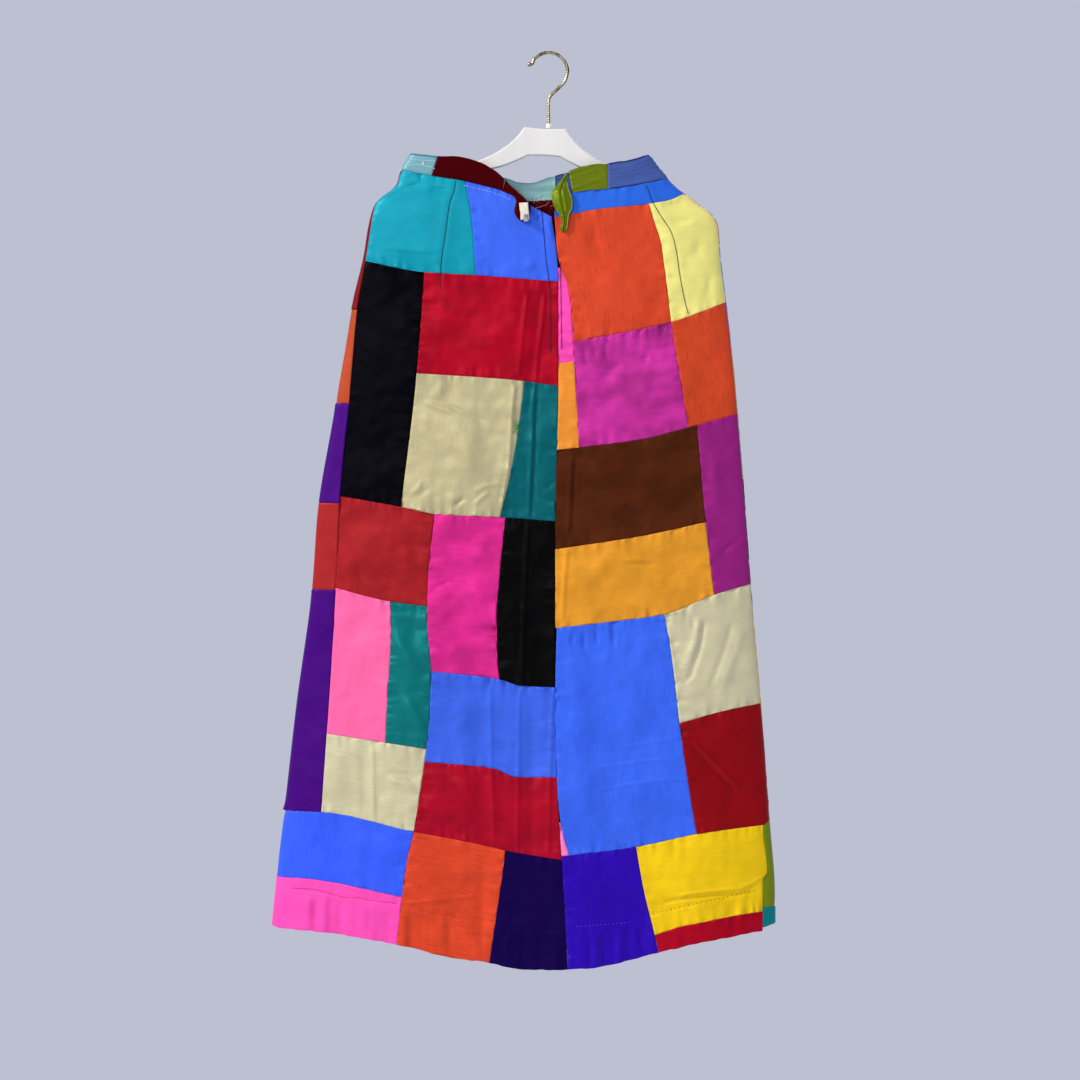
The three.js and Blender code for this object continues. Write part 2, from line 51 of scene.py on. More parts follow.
HIDDEN_CELL = 4.8  # and of the front's
BORDER = (0.35, 0.8, 1.5, 2.4)  # extra grid lines beside every edge
SETTLE_ROUNDS = 30  # enough for a patch's grid to stop moving
EDGE_SUNK, EDGE_ROUND = 0.5, 0.9  # how deep and how wide the cloth turns in at a seam
BAND_LIFT = 0.7  # how far the folded waistband stands off the panels' smooth form
HEM = 50.0  # depth of the turned hem
HEM_FOLD = 0.35  # how far its second layer lifts the cloth
STITCH_PITCH, STITCH_SUNK = 4.0, 0.5
HEM_RIPPLES = ((10, 2.2), (5, 0.5))  # lengths and heights

# Waves all over the hung cloth: name, height, length. The hanger leaves only a share of them above TAUT_FOOT
WAVES = (("broad", 2.6, 62), ("fine", 1.3, 27), ("small", 0.5, 11))
TAUT_FOOT, TAUT_FADE, TAUT_SHARE = -210, 90, 0.3

# The hung skirt's level sections: z, left, right, depth of the back, depth of the front
SECTIONS = [
    (-120, -169, 122, 15, 17),
    (-152, -187, 147, 17, 19),
    (-162, -189, 156, 18, 19),
    (-171, -198, 166, 19, 20),
    (-179, -209, 177, 20, 20),
    (-190, -218, 191, 21, 21),
    (-202, -222, 206, 22, 22),
    (-215, -225, 213, 22, 22),
    (-252, -231, 216, 22, 22),
    (-308, -244, 223, 21, 22),
    (-358, -252, 229, 21, 23),
    (-450, -268, 238, 21, 24),
    (-578, -289, 248, 22, 26),
    (-663, -295, 254, 23, 28),
    (-813, -315, 267, 25, 31),
    (-963, -332, 278, 28, 34),
    (-1040, -341, 284, 30, 36),
    (-1090, -346, 285, 31, 38),
    (-1143, -350, 285, 32, 39),
]

# Soft folds that grow from their head to the hem: side, head x and z, foot x and z, half width, depth
FOLDS = [
    ("back", -130, -560, -215, -1120, 46, 4),
    ("back", -60, -520, -95, -1130, 40, -3),
    ("back", 10, -480, 22, -1143, 36, 4),
    ("back", 80, -560, 120, -1120, 40, -4),
    ("back", 150, -560, 205, -1100, 40, 4),
    ("front", -130, -520, -210, -1120, 46, 7),
    ("front", -60, -600, -110, -1130, 40, -5),
    ("front", 0, -520, -10, -1140, 46, 8),
    ("front", 70, -620, 90, -1140, 40, -5),
    ("front", 130, -560, 180, -1110, 40, 7),
]

# Seams and edges that run across the skirt, each a list of (x, z)
ACROSS = {
    "band_top_left": [(-185, -120), (-174, -124), (-138, -128), (-115, -129), (-90, -135), (-73, -143),
        (-53, -159), (-39, -175)],
    "band_top_right": [(20, -151), (29, -146), (38, -143), (52, -140), (74, -138), (105, -132), (126, -126),
        (140, -121)],
    "band_top_front": [(-185, -121), (-172, -125), (-122, -136), (-57, -153), (-24, -160), (10, -150),
        (29, -146), (65, -138), (109, -130), (128, -126), (140, -122)],
    "waist_left": [(-200, -142), (-185, -145), (-146, -153), (-105, -160), (-80, -166), (-53, -174),
        (-42, -180), (4, -205)],
    "waist_right": [(6, -200), (31, -175), (52, -172), (75, -170), (115, -164), (149, -156), (170, -150)],
    "waist_front": [(-200, -142), (-185, -146), (-122, -163), (-57, -178), (-24, -182), (2, -181),
        (29, -178), (67, -171), (121, -160), (149, -155), (170, -150)],
    "yoke_left": [(-240, -257), (-155, -274), (-90, -278), (13, -286)],
    "red_foot": [(-164, -400), (-39, -409), (13, -416)],
    "middle_left": [(-275, -551), (-183, -567), (-142, -576), (-60, -580), (9, -585)],
    "brick_foot": [(-280, -664), (-197, -685), (-151, -691)],
    "fuchsia_foot": [(-146, -772), (-61, -782), (-34, -790), (9, -792)],
    "pink_foot": [(-290, -848), (-203, -861), (-151, -869)],
    "cornflower_foot": [(-152, -885), (-69, -893), (-38, -904), (10, -904)],
    "lower_left": [(-345, -946), (-283, -948), (-167, -972), (-98, -985), (-53, -995), (17, -1007)],
    "royal_foot": [(-345, -1029), (-302, -1031), (-271, -1035), (-182, -1053)],
    "hem_left": [(-346, -1091), (-329, -1093), (-306, -1095), (-188, -1112), (-129, -1127), (-74, -1135),
        (-29, -1143), (25, -1143)],
    "strip_foot": [(8, -206), (32, -201), (65, -195), (124, -189), (154, -183), (180, -168)],
    "pink_top": [(10, -269), (40, -269)],
    "upper_right": [(32, -361), (154, -336), (240, -304)],
    "pink_edge_foot": [(10, -388), (40, -385)],
    "middle_right": [(12, -496), (39, -493), (115, -483), (175, -468), (250, -447)],
    "brown_foot": [(9, -620), (119, -603), (197, -586)],
    "mango_foot": [(11, -718), (81, -710), (145, -701), (207, -677), (270, -659)],
    "cream_foot": [(164, -837), (218, -822), (280, -810)],
    "low_pink_top": [(5, -960), (30, -960)],
    "lower_right": [(17, -1002), (55, -998), (110, -991), (185, -975), (290, -962)],
    "yellow_foot": [(133, -1101), (165, -1090), (190, -1085), (225, -1078), (285, -1070)],
    "hem_right": [(25, -1143), (64, -1140), (99, -1133), (137, -1123), (196, -1109), (259, -1098),
        (285, -1094)],
    "front_1": [(-260, -320), (230, -330)],
    "front_2": [(-270, -437), (240, -448)],
    "front_3": [(-280, -562), (250, -575)],
    "front_4": [(-300, -670), (260, -684)],
    "olive_top": [(100, -930), (290, -915)],
    "olive_foot": [(100, -1078), (290, -1066)],
    "hem_front": [(-306, -1095), (-188, -1112), (-74, -1122), (25, -1126), (137, -1113), (268, -1092),
        (290, -1086)],
    "inner_1": [(-110, -288), (100, -282)],
    "inner_2": [(-130, -418), (110, -410)],
    "inner_3": [(-160, -590), (120, -598)],
    "inner_4": [(-190, -742), (140, -735)],
    "inner_5": [(-210, -905), (160, -912)],
    "inner_6": [(60, -246), (230, -238)],
    "inner_7": [(60, -385), (240, -372)],
    "inner_8": [(80, -541), (260, -530)],
    "inner_9": [(90, -723), (270, -710)],
}

# Seams and edges that run down the skirt, each a list of (x, z)
DOWN = {
    "side_left": [(-168.5, -118), (-186.5, -152), (-188.5, -162), (-197.5, -171), (-208.5, -179),
        (-217, -190), (-219.5, -202), (-222, -217), (-227, -249), (-234, -289), (-239, -322), (-249, -437),
        (-260, -555), (-265, -668), (-275, -833), (-283, -948)],
    "side_right": [(121.5, -118), (146.5, -152), (155.5, -162), (165.5, -171), (176.5, -179), (190.5, -190),
        (205.5, -202), (212.5, -215), (215.5, -252), (222.5, -308), (228.5, -358), (237.5, -450),
        (247.5, -578), (253.5, -663), (266.5, -813), (277, -959), (269, -966), (274, -1023), (268, -1033),
        (268, -1120)],
    "band_seam_left": [(-137, -126), (-146, -155)],
    "band_end_left": [(-53, -150), (-58, -180)],
    "band_end_right": [(24, -135), (31, -180)],
    "band_seam_right": [(74, -130), (75, -175)],
    "band_seam_front": [(9, -120), (9, -200)],
    "turquoise_edge": [(-105, -155), (-96, -202), (-90, -280)],
    "black_edge": [(-154, -268), (-164, -400), (-184, -570)],
    "champagne_edge": [(-29, -405), (-37, -470), (-48, -531), (-61, -584)],
    "column_left": [(-141, -570), (-150, -662), (-151, -707), (-146, -770), (-148, -831), (-154, -885),
        (-168, -976)],
    "fuchsia_edge": [(-53, -577), (-60, -647), (-64, -703), (-63, -756), (-60, -786)],
    "pink_seam": [(-197, -682), (-196, -722), (-201, -815), (-203, -864)],
    "hem_seam_left": [(-166, -968), (-176, -1010), (-182, -1054), (-189, -1116)],
    "hem_seam_right": [(-52, -990), (-62, -1060), (-74, -1140)],
    "centre_left": [(4, -203), (11, -253), (13, -286), (13, -416), (9, -585), (9, -796), (11, -905),
        (17, -1007), (25, -1146)],
    "opening_right": [(8, -200), (11, -245), (15, -266), (25, -293), (30, -333), (32, -371), (39, -497)],
    "upper_column": [(125, -187), (133, -212), (141, -237), (145, -264), (154, -336), (176, -472)],
    "brown_edge": [(186, -462), (197, -586), (208, -680)],
    "royal_edge": [(144, -697), (152, -738), (164, -837), (173, -901), (186, -979)],
    "low_pink_edge": [(11, -714), (9, -796), (11, -905), (14, -948), (19, -976), (28, -1006)],
    "hem_column": [(109, -986), (119, -1043), (133, -1101), (139, -1128)],
    "front_column_left": [(-95, -150), (-170, -600), (-225, -1130)],
    "front_column_right": [(70, -150), (115, -600), (165, -1130)],
}

# Every patch: slot, colour, direction of its slubs in degrees, how strong they are,
# and its edges: top, foot, from, to
PATCHES = {
    "back_left_turquoise": ("silk_turquoise", 0x1A92A8, 0, 0.35,
        "waist_left", "yoke_left", "side_left", "turquoise_edge"),
    "back_left_blue": ("silk_blue", 0x416AEE, 90, 0.35,
        "waist_left", "yoke_left", "turquoise_edge", "centre_left"),
    "back_left_black": ("silk_black", 0x0E0E14, 0, 0.3,
        "yoke_left", "middle_left", "side_left", "black_edge"),
    "back_left_red": ("silk_red", 0xAB1228, 0, 0.4,
        "yoke_left", "red_foot", "black_edge", "centre_left"),
    "back_left_champagne": ("silk_champagne", 0xB6AD86, 90, 0.4,
        "red_foot", "middle_left", "black_edge", "champagne_edge"),
    "back_left_teal": ("silk_teal", 0x09555C, 0, 0.4,
        "red_foot", "middle_left", "champagne_edge", "centre_left"),
    "back_left_brick": ("silk_brick", 0x9E2429, 0, 0.4,
        "middle_left", "brick_foot", "side_left", "column_left"),
    "back_left_fuchsia": ("silk_fuchsia", 0xDB2E8C, 0, 0.5,
        "middle_left", "fuchsia_foot", "column_left", "fuchsia_edge"),
    "back_left_jet": ("silk_black", 0x07070D, 0, 0.2,
        "middle_left", "fuchsia_foot", "fuchsia_edge", "centre_left"),
    "back_left_pink": ("silk_pink", 0xFF69A5, 90, 0.4,
        "brick_foot", "pink_foot", "side_left", "pink_seam"),
    "back_left_green": ("silk_green", 0x046465, 0, 0.4,
        "brick_foot", "pink_foot", "pink_seam", "column_left"),
    "back_left_cornflower": ("silk_cornflower", 0x3F65E0, 0, 0.6,
        "fuchsia_foot", "cornflower_foot", "column_left", "centre_left"),
    "back_left_cream": ("silk_champagne", 0xC8C29E, 0, 0.4,
        "pink_foot", "lower_left", "side_left", "column_left"),
    "back_left_crimson": ("silk_crimson", 0xA50D29, 0, 0.4,
        "cornflower_foot", "lower_left", "column_left", "centre_left"),
    "back_left_royal": ("silk_royal", 0x3C5FF5, 90, 0.6,
        "lower_left", "royal_foot", "front_column_left", "hem_seam_left"),
    "back_left_rose": ("silk_rose", 0xFC52B4, 0, 0.3,
        "royal_foot", "hem_left", "front_column_left", "hem_seam_left"),
    "back_left_orange": ("silk_orange", 0xD7482D, 0, 1.0,
        "lower_left", "hem_left", "hem_seam_left", "hem_seam_right"),
    "back_left_indigo": ("silk_indigo", 0x1F1648, 0, 1.0,
        "lower_left", "hem_left", "hem_seam_right", "centre_left"),
    "back_right_blue": ("silk_blue", 0x3069DC, 0, 0.4,
        "waist_right", "strip_foot", "opening_right", "side_right"),
    "back_right_vermilion": ("silk_orange", 0xD54A2E, 90, 0.9,
        "strip_foot", "upper_right", "opening_right", "upper_column"),
    "back_right_lemon": ("silk_lemon", 0xF0E786, 0, 0.2,
        "strip_foot", "upper_right", "upper_column", "side_right"),
    "back_right_pink_edge": ("silk_rose", 0xFF50B4, 0, 0.3,
        "pink_top", "pink_edge_foot", "centre_left", "opening_right"),
    "back_right_orchid": ("silk_orchid", 0xC63599, 0, 0.6,
        "upper_right", "middle_right", "opening_right", "upper_column"),
    "back_right_orange": ("silk_orange", 0xCF4A2B, 90, 0.9,
        "upper_right", "middle_right", "upper_column", "side_right"),
    "back_right_mango_edge": ("silk_mango", 0xEA9138, 0, 0.3,
        "pink_edge_foot", "middle_right", "centre_left", "opening_right"),
    "back_right_brown": ("silk_brown", 0x532B1D, 0, 0.4,
        "middle_right", "brown_foot", "centre_left", "brown_edge"),
    "back_right_purple": ("silk_purple", 0x912577, 0, 0.6,
        "middle_right", "mango_foot", "brown_edge", "side_right"),
    "back_right_mango": ("silk_mango", 0xE29930, 0, 0.35,
        "brown_foot", "mango_foot", "centre_left", "brown_edge"),
    "back_right_royal": ("silk_royal", 0x3E69EE, 90, 0.6,
        "mango_foot", "lower_right", "low_pink_edge", "royal_edge"),
    "back_right_champagne": ("silk_champagne", 0xCAC4A0, 0, 0.3,
        "mango_foot", "cream_foot", "royal_edge", "side_right"),
    "back_right_maroon": ("silk_maroon", 0x8A161C, 0, 0.4,
        "cream_foot", "lower_right", "royal_edge", "side_right"),
    "back_right_pink_foot": ("silk_pink", 0xFF84C4, 0, 0.3,
        "low_pink_top", "lower_right", "centre_left", "low_pink_edge"),
    "back_right_violet": ("silk_violet", 0x3216AA, 0, 0.5,
        "lower_right", "hem_right", "centre_left", "hem_column"),
    "back_right_yellow": ("silk_yellow", 0xEFC71E, 0, 0.3,
        "lower_right", "yellow_foot", "hem_column", "side_right"),
    "back_right_red": ("silk_crimson", 0xA50F26, 0, 0.5,
        "yellow_foot", "hem_right", "hem_column", "side_right"),
    # The front's orange, purple, red and aubergine side strips have colours darkened as painted shade, for
    # the shade they lie in round the left side.
    "front_wine": ("silk_wine", 0x6E0A19, 0, 0.5,
        "waist_front", "front_1", "front_column_left", "side_left"),
    "front_orange": ("silk_orange", 0xAE4A2E, 0, 0.7,
        "front_1", "front_2", "front_column_left", "side_left"),
    "front_purple": ("silk_aubergine", 0x411070, 0, 0.5,
        "front_2", "front_3", "front_column_left", "side_left"),
    "front_red": ("silk_brick", 0xA0292B, 0, 0.5,
        "front_3", "front_4", "front_column_left", "side_left"),
    "front_aubergine": ("silk_aubergine", 0x400D70, 0, 0.5,
        "front_4", "lower_left", "front_column_left", "side_left"),
    "front_olive": ("silk_olive", 0x73821E, 90, 0.5,
        "olive_top", "olive_foot", "side_right", "front_column_right"),
    "front_teal": ("silk_teal", 0x14787D, 0, 0.4,
        "olive_foot", "hem_front", "side_right", "front_column_right"),
}

# Patches of the front's two inner columns, which one CAD node each stands for
INNER = {
    "front_middle": [
        ("wine", "silk_wine", 0x5A0A18, "waist_front", "inner_1"),
        ("lemon", "silk_lemon", 0xE4DA7D, "inner_1", "inner_2"),
        ("crimson", "silk_crimson", 0xAF0F28, "inner_2", "inner_3"),
        ("royal", "silk_royal", 0x3C5FF5, "inner_3", "inner_4"),
        ("mango", "silk_mango", 0xE49B37, "inner_4", "inner_5"),
        ("green", "silk_green", 0x0A7D6E, "inner_5", "hem_front"),
    ],
    "front_right": [
        ("orchid", "silk_orchid", 0xB9288C, "waist_front", "inner_6"),
        ("blue", "silk_blue", 0x416AEE, "inner_6", "inner_7"),
        ("champagne", "silk_champagne", 0xC8C096, "inner_7", "inner_8"),
        ("brown", "silk_brown", 0x4B2316, "inner_8", "inner_9"),
        ("yellow", "silk_yellow", 0xF0C828, "inner_9", "olive_top"),
    ],
}
INNER_SIDES = {
    "front_middle": ("front_column_right", "front_column_left"),
    "front_right": ("side_right", "front_column_right"),
}

# Pieces of the waistband: slot, colour, how much its cloth is gathered, and its edges
BANDS = {
    "band_aqua": ("silk_aqua", 0x6B9BA8, 0.4, "band_top_left", "waist_left", "side_left", "band_seam_left"),
    "band_burgundy": ("silk_burgundy", 0x420816, 0.2,
        "band_top_left", "waist_left", "band_seam_left", "band_end_left"),
    "band_olive": ("silk_olive", 0x636F1A, 1.0,
        "band_top_right", "waist_right", "band_end_right", "band_seam_right"),
    "band_slate": ("silk_slate", 0x475B9C, 0.75,
        "band_top_right", "waist_right", "band_seam_right", "side_right"),
    "band_front_aqua": ("silk_aqua", 0x93C4C6, 0.5,
        "band_top_front", "waist_front", "band_seam_front", "side_left"),
    "band_front_slate": ("silk_slate", 0x475B9C, 0.4,
        "band_top_front", "waist_front", "side_right", "band_seam_front"),
}

# Colours of slubs that aren't only a darker shade of their patch
SLUB_COLOURS = {
    "back_left_orange": 0x7A1512,
    "back_left_indigo": 0x06040C,
    "back_right_vermilion": 0x93210F,
    "back_right_orange": 0x8C1A10,
    "band_olive": 0x2A3208,
    "band_slate": 0x1D2750,
}
PLAIN_CLOUDS = 0.2
CLOUDED = {  # how strongly a darker shade clouds a patch, where that differs from PLAIN_CLOUDS
    "back_right_orchid": 0.8,
    "back_left_fuchsia": 0.6,
    "back_left_red": 0.55,
    "back_left_crimson": 0.5,
    "back_left_brick": 0.35,
    "back_right_brown": 0.6,
    "back_right_mango": 0.3,
}
SHEEN_SHARE = 0.006  # light that every cloth's sheen adds, taken off its own colour
DARK_CLOTH = 0.1  # brightest channel of a cloth so dark that a sheen would turn it grey
DARK_GLOSS, PLAIN_GLOSS = 0.05, 0.55
GLOSSY = {  # specular level of a patch, where that differs from PLAIN_GLOSS
    "back_left_champagne": 0.9,
    "back_left_cream": 0.8,
    "back_right_champagne": 0.8,
    "back_left_green": 0.8,
    "back_left_cornflower": 0.75,
    "back_left_crimson": 0.75,
    "back_left_fuchsia": 0.7,
    "back_right_purple": 0.7,
}

# Press folds, drags and waves of the back: half width, height above the cloth, (x, z) points
CREASES = [
    (2.4, 1.0, [(-25, -297), (-29, -325), (-33, -360), (-37, -406)]),
    (9.0, 0.9, [(-20, -297), (-26, -350), (-31, -406)]),
    (2.2, 1.3, [(-4, -300), (-8, -340), (-14, -382), (-16, -413), (-20, -447), (-20, -476), (-25, -586)]),
    (2.4, -1.0, [(-13, -428), (-15, -476), (-20, -582)]),
    (2.2, 1.6, [(-41, -411), (-44, -433), (-49, -517), (-59, -570)]),
    (7.0, 0.9, [(-46, -411), (-54, -517), (-66, -570)]),
    (2.2, 0.9, [(-25, -586), (-29, -663), (-31, -727), (-33, -789), (-36, -808), (-37, -904), (-38, -1002)]),
    (2.4, 0.9, [(-72, -786), (-71, -891), (-66, -992)]),
    (8.0, 1.1, [(-72, -786), (-71, -891), (-66, -992)]),
    (2.4, 0.9, [(6, -800), (3, -880), (0, -1004)]),
    (14.0, 1.7, [(-112, -790), (-104, -880), (-98, -985)]),
    (9.0, -1.4, [(-20, -800), (-20, -1000)]),
    (2.4, 1.1, [(29, -500), (28, -531), (25, -604)]),
    (2.4, -0.9, [(34, -505), (33, -531), (30, -600)]),
    (2.2, 1.2, [(24, -617), (21, -650), (17, -714)]),
    (3.0, -1.2, [(52, -1105), (52, -1145)]),
    (3.0, -1.2, [(68, -1116), (67, -1142)]),
    (3.0, -1.1, [(113, -1088), (117, -1120)]),
    (6.0, 1.5, [(-50, -1094), (-51, -1133)]),
    (2.2, 1.2, [(-180, -1061), (-150, -1058), (-120, -1054), (-88, -1053)]),
    (8.0, 1.6, [(-105, -1062), (-100, -1124)]),
    (7.0, -1.3, [(-126, -1065), (-122, -1124)]),
    (7.0, -1.2, [(-80, -1000), (-84, -1124)]),
    (2.2, 1.7, [(180, -858), (212, -890), (241, -921)]),
    (2.6, -1.6, [(176, -862), (206, -893), (236, -924)]),
    (2.0, 1.5, [(273, -1025), (257, -1036), (240, -1043), (214, -1045), (175, -1049), (160, -1053)]),
    (2.4, -1.3, [(270, -1030), (240, -1049), (214, -1050), (175, -1054), (140, -1061)]),
    (5.0, -1.6, [(-325, -1048), (-326, -1088)]),
    (5.0, -1.5, [(-289, -1048), (-289, -1093)]),
    (5.0, -1.4, [(-258, -1052), (-258, -1096)]),
    (6.0, -1.4, [(-220, -1060), (-221, -1104)]),
    (3.4, -1.6, [(-209, -180), (-197, -177), (-185, -171), (-171, -166), (-155, -163)]),
    (3.0, -1.1, [(-152, -171), (-122, -171)]),
    (2.0, 0.6, [(-205, -243), (-170, -247), (-133, -249)]),
    (4.0, -1.5, [(141, -185), (170, -192), (201, -200)]),
    (4.0, -1.0, [(149, -212), (188, -208)]),
    (5.0, -1.5, [(203, -270), (200, -311)]),
    (7.0, -1.4, [(192, -228), (184, -262)]),
    (14.0, -1.8, [(45, -238), (72, -228)]),
    (10.0, -1.4, [(118, -300), (150, -326)]),
    (12.0, 1.4, [(58, -300), (100, -270)]),
    (3.0, -1.3, [(44, -362), (48, -392)]),
    (3.0, -1.2, [(57, -360), (60, -384)]),
    (3.2, -1.3, [(69, -357), (74, -388)]),
    (9.0, -1.7, [(55, -415), (98, -385)]),
    (9.0, -1.4, [(60, -446), (96, -424)]),
    (5.0, -1.6, [(115, -378), (128, -386)]),
    (12.0, 1.5, [(100, -444), (140, -402)]),
    (3.0, -1.5, [(213, -628), (230, -614), (249, -601)]),
    (8.0, 1.5, [(206, -490), (214, -585)]),
    (10.0, -1.7, [(46, -684), (90, -637)]),
    (2.4, -0.8, [(93, -638), (135, -639)]),
    (2.4, 0.7, [(93, -633), (135, -634)]),
    (12.0, 1.5, [(55, -660), (82, -615)]),
    (5.0, 1.3, [(190, -700), (184, -735), (170, -772)]),
    (3.4, -1.4, [(196, -704), (190, -740), (178, -778), (166, -790)]),
    (6.0, 1.2, [(246, -712), (234, -750), (214, -800)]),
    (4.0, -1.1, [(232, -706), (221, -745), (200, -796)]),
    (3.0, -1.4, [(178, -698), (184, -724)]),
    (2.6, -1.3, [(151, -734), (162, -740)]),
    (2.6, -1.3, [(153, -747), (166, -754)]),
    (2.6, -1.3, [(156, -761), (169, -769)]),
    (2.6, -1.2, [(159, -776), (174, -786)]),
    (2.2, -1.2, [(-118, -567), (-109, -560), (-99, -556)]),
    (2.4, 1.2, [(-94, -567), (-83, -556), (-71, -547)]),
    (3.0, 1.2, [(-175, -556), (-163, -545), (-154, -532)]),
    (3.0, 1.1, [(-156, -435), (-135, -444), (-114, -450)]),
    (12.0, 1.5, [(-100, -455), (-96, -562)]),
    (12.0, 1.2, [(-146, -418), (-127, -428)]),
    (2.6, -1.0, [(-127, -439), (-100, -452), (-78, -461)]),
    (2.6, -0.9, [(-164, -556), (-147, -542)]),
    (2.6, -0.9, [(-122, -570), (-100, -550)]),
    (2.6, 0.8, [(-94, -548), (-76, -541), (-58, -537)]),
    (2.4, -0.8, [(-5, -545), (9, -537)]),
    (10.0, -1.7, [(-138, -605), (-80, -622)]),
    (2.2, -1.3, [(-146, -669), (-134, -665), (-121, -660)]),
    (12.0, -1.8, [(-125, -690), (-100, -740), (-80, -765)]),
    (12.0, 1.6, [(-96, -645), (-84, -700)]),
    (9.0, 2.2, [(-197, -712), (-178, -750), (-161, -782)]),
    (9.0, -1.5, [(-176, -700), (-158, -735)]),
    (8.0, 2.0, [(-186, -792), (-165, -828), (-149, -861)]),
    (10.0, -1.8, [(-250, -637), (-217, -665)]),
    (8.0, -1.2, [(-172, -598), (-160, -645)]),
    (7.0, -1.3, [(-229, -861), (-229, -957)]),
    (3.0, 1.0, [(-219, -862), (-218, -956)]),
    (4.0, 1.5, [(-205, -905), (-180, -912), (-160, -925)]),
    (4.0, -1.5, [(-205, -896), (-175, -902), (-158, -914)]),
    (2.6, -1.0, [(-96, -197), (-82, -198)]),
    (2.6, -1.0, [(-95, -231), (-84, -234), (-76, -232)]),
    (2.2, 1.0, [(-91, -259), (-74, -257)]),
    (3.2, -2.4, [(-14, -203), (-10, -209)]),
    (3.0, 1.5, [(-2, -206), (2, -222), (5, -240)]),
    (2.6, -1.2, [(-22, -195), (-8, -201)]),
    (6.0, 1.2, [(-32, -262), (-12, -268)]),
    (1.8, 0.6, [(95, -868), (140, -858), (180, -853)]),
    (1.8, 0.6, [(60, -893), (120, -884), (184, -880)]),
    (1.8, 0.6, [(60, -921), (120, -910), (186, -905)]),
    (14.0, 1.7, [(32, -740), (48, -985)]),
    (16.0, 1.4, [(98, -728), (112, -980)]),
    (3.0, -1.3, [(30, -721), (31, -745)]),
    (3.0, -1.3, [(44, -720), (46, -749)]),
    (3.0, -1.2, [(60, -717), (62, -742)]),
    (3.0, -1.2, [(80, -715), (83, -746)]),
]

CREASE_SCALE = 1.5

# The two darts, folded and stitched from the waist
DARTS = [
    [(-115, -160), (-118, -175), (-123, -189), (-128, -225), (-133, -259), (-135, -297)],
    [(123, -166), (132, -189), (142, -206), (154, -225), (160, -248), (164, -275), (169, -302), (175, -326)],
]
DART_RELIEF = ((1.6, -0.7, 8), (9.0, 0.9, 4))  # its groove and the swell beside it: half width, height, end

PUCKER_HEIGHT = 3.2
FINE_PUCKER, WIDE_PUCKER = 3.8, 7.5  # lengths along the seam
PLAIN_PUCKER = 0.7
SIDE_PUCKER = 0.15

# How strongly a patch puckers along one of its seams, where that differs from PLAIN_PUCKER
PUCKERED = {
    ("back_right_maroon", "royal_edge"): 2.0,
    ("back_right_champagne", "royal_edge"): 2.0,
    ("back_right_champagne", "mango_foot"): 1.5,
    ("back_right_royal", "mango_foot"): 1.5,
    ("back_right_yellow", "lower_right"): 1.5,
    ("back_right_yellow", "yellow_foot"): 1.3,
    ("back_right_orchid", "upper_right"): 1.4,
    ("back_right_mango_edge", "centre_left"): 1.6,
    ("back_right_brown", "brown_foot"): 1.2,
    ("back_left_fuchsia", "column_left"): 1.4,
    ("back_left_fuchsia", "fuchsia_edge"): 1.6,
    ("back_left_brick", "column_left"): 1.3,
    ("back_left_blue", "turquoise_edge"): 1.3,
    ("back_left_champagne", "middle_left"): 1.5,
    ("back_left_cornflower", "fuchsia_foot"): 1.3,
    ("back_left_cream", "lower_left"): 1.4,
    ("back_left_cream", "pink_foot"): 1.3,
}
FREE_EDGES = {"hem_left", "hem_right", "hem_front", "band_top_left", "band_top_right", "band_top_front"}


def smooth(t):
    t = np.clip(t, 0, 1)
    return t * t * (3 - 2 * t)


def seed(name):
    return zlib.crc32(name.encode())


class Line:
    """A smooth line through (key, value) rows that doesn't overshoot, straight past both ends."""

    def __init__(self, rows):
        rows = sorted(rows)
        self.key = np.array([row[0] for row in rows], float)
        self.value = np.array([row[1] for row in rows], float)
        self.gap = np.diff(self.key)
        rate = np.diff(self.value) / self.gap
        slope = np.empty_like(self.value)
        slope[0], slope[-1] = rate[0], rate[-1]
        for i in range(1, len(rows) - 1):
            if rate[i - 1] * rate[i] <= 0:
                slope[i] = 0
                continue
            near = 2 * self.gap[i] + self.gap[i - 1]
            far = self.gap[i] + 2 * self.gap[i - 1]
            slope[i] = (near + far) / (near / rate[i - 1] + far / rate[i])
        self.slope = slope

    def __call__(self, key):
        key = np.asarray(key, float)
        i = np.clip(np.searchsorted(self.key, key) - 1, 0, len(self.gap) - 1)
        gap = self.gap[i]
        t = np.clip((key - self.key[i]) / gap, 0, 1)
        inside = (
            self.value[i] * (1 + 2 * t) * (1 - t) ** 2
            + self.value[i + 1] * t * t * (3 - 2 * t)
            + gap * t * (1 - t) * (self.slope[i] * (1 - t) - self.slope[i + 1] * t)
        )
        before = np.minimum(key - self.key[0], 0) * self.slope[0]
        after = np.maximum(key - self.key[-1], 0) * self.slope[-1]
        return inside + before + after


LEFT, RIGHT, BACK, FRONT = (Line([(row[0], row[i]) for row in SECTIONS]) for i in range(1, 5))
across = {name: Line(rows) for name, rows in ACROSS.items()}
down = {name: Line([(z, x) for x, z in rows]) for name, rows in DOWN.items()}


def wave(name, key, length):
    """Seeded noise along a line, from -1 to 1, that turns over about every length."""
    values = np.random.default_rng(seed(name)).uniform(-1, 1, 4096)
    at = np.asarray(key, float) / length + 2048
    i = np.floor(at).astype(int)
    t = smooth(at - i)
    return values[i % 4096] * (1 - t) + values[(i + 1) % 4096] * t


def field(name, x, z, length):
    """Seeded noise over the cloth, from -1 to 1."""
    values = np.random.default_rng(seed(name)).uniform(-1, 1, (256, 256))
    turned = (0.8 * x + 0.6 * z) / length + 1024
    crossed = (-0.6 * x + 0.8 * z) / length + 1024
    i, j = np.floor(turned).astype(int), np.floor(crossed).astype(int)
    s, t = smooth(turned - i), smooth(crossed - j)
    i, j, i1, j1 = i % 256, j % 256, (i + 1) % 256, (j + 1) % 256
    near = values[i, j] * (1 - s) + values[i1, j] * s
    far = values[i, j1] * (1 - s) + values[i1, j1] * s
    return near * (1 - t) + far * t


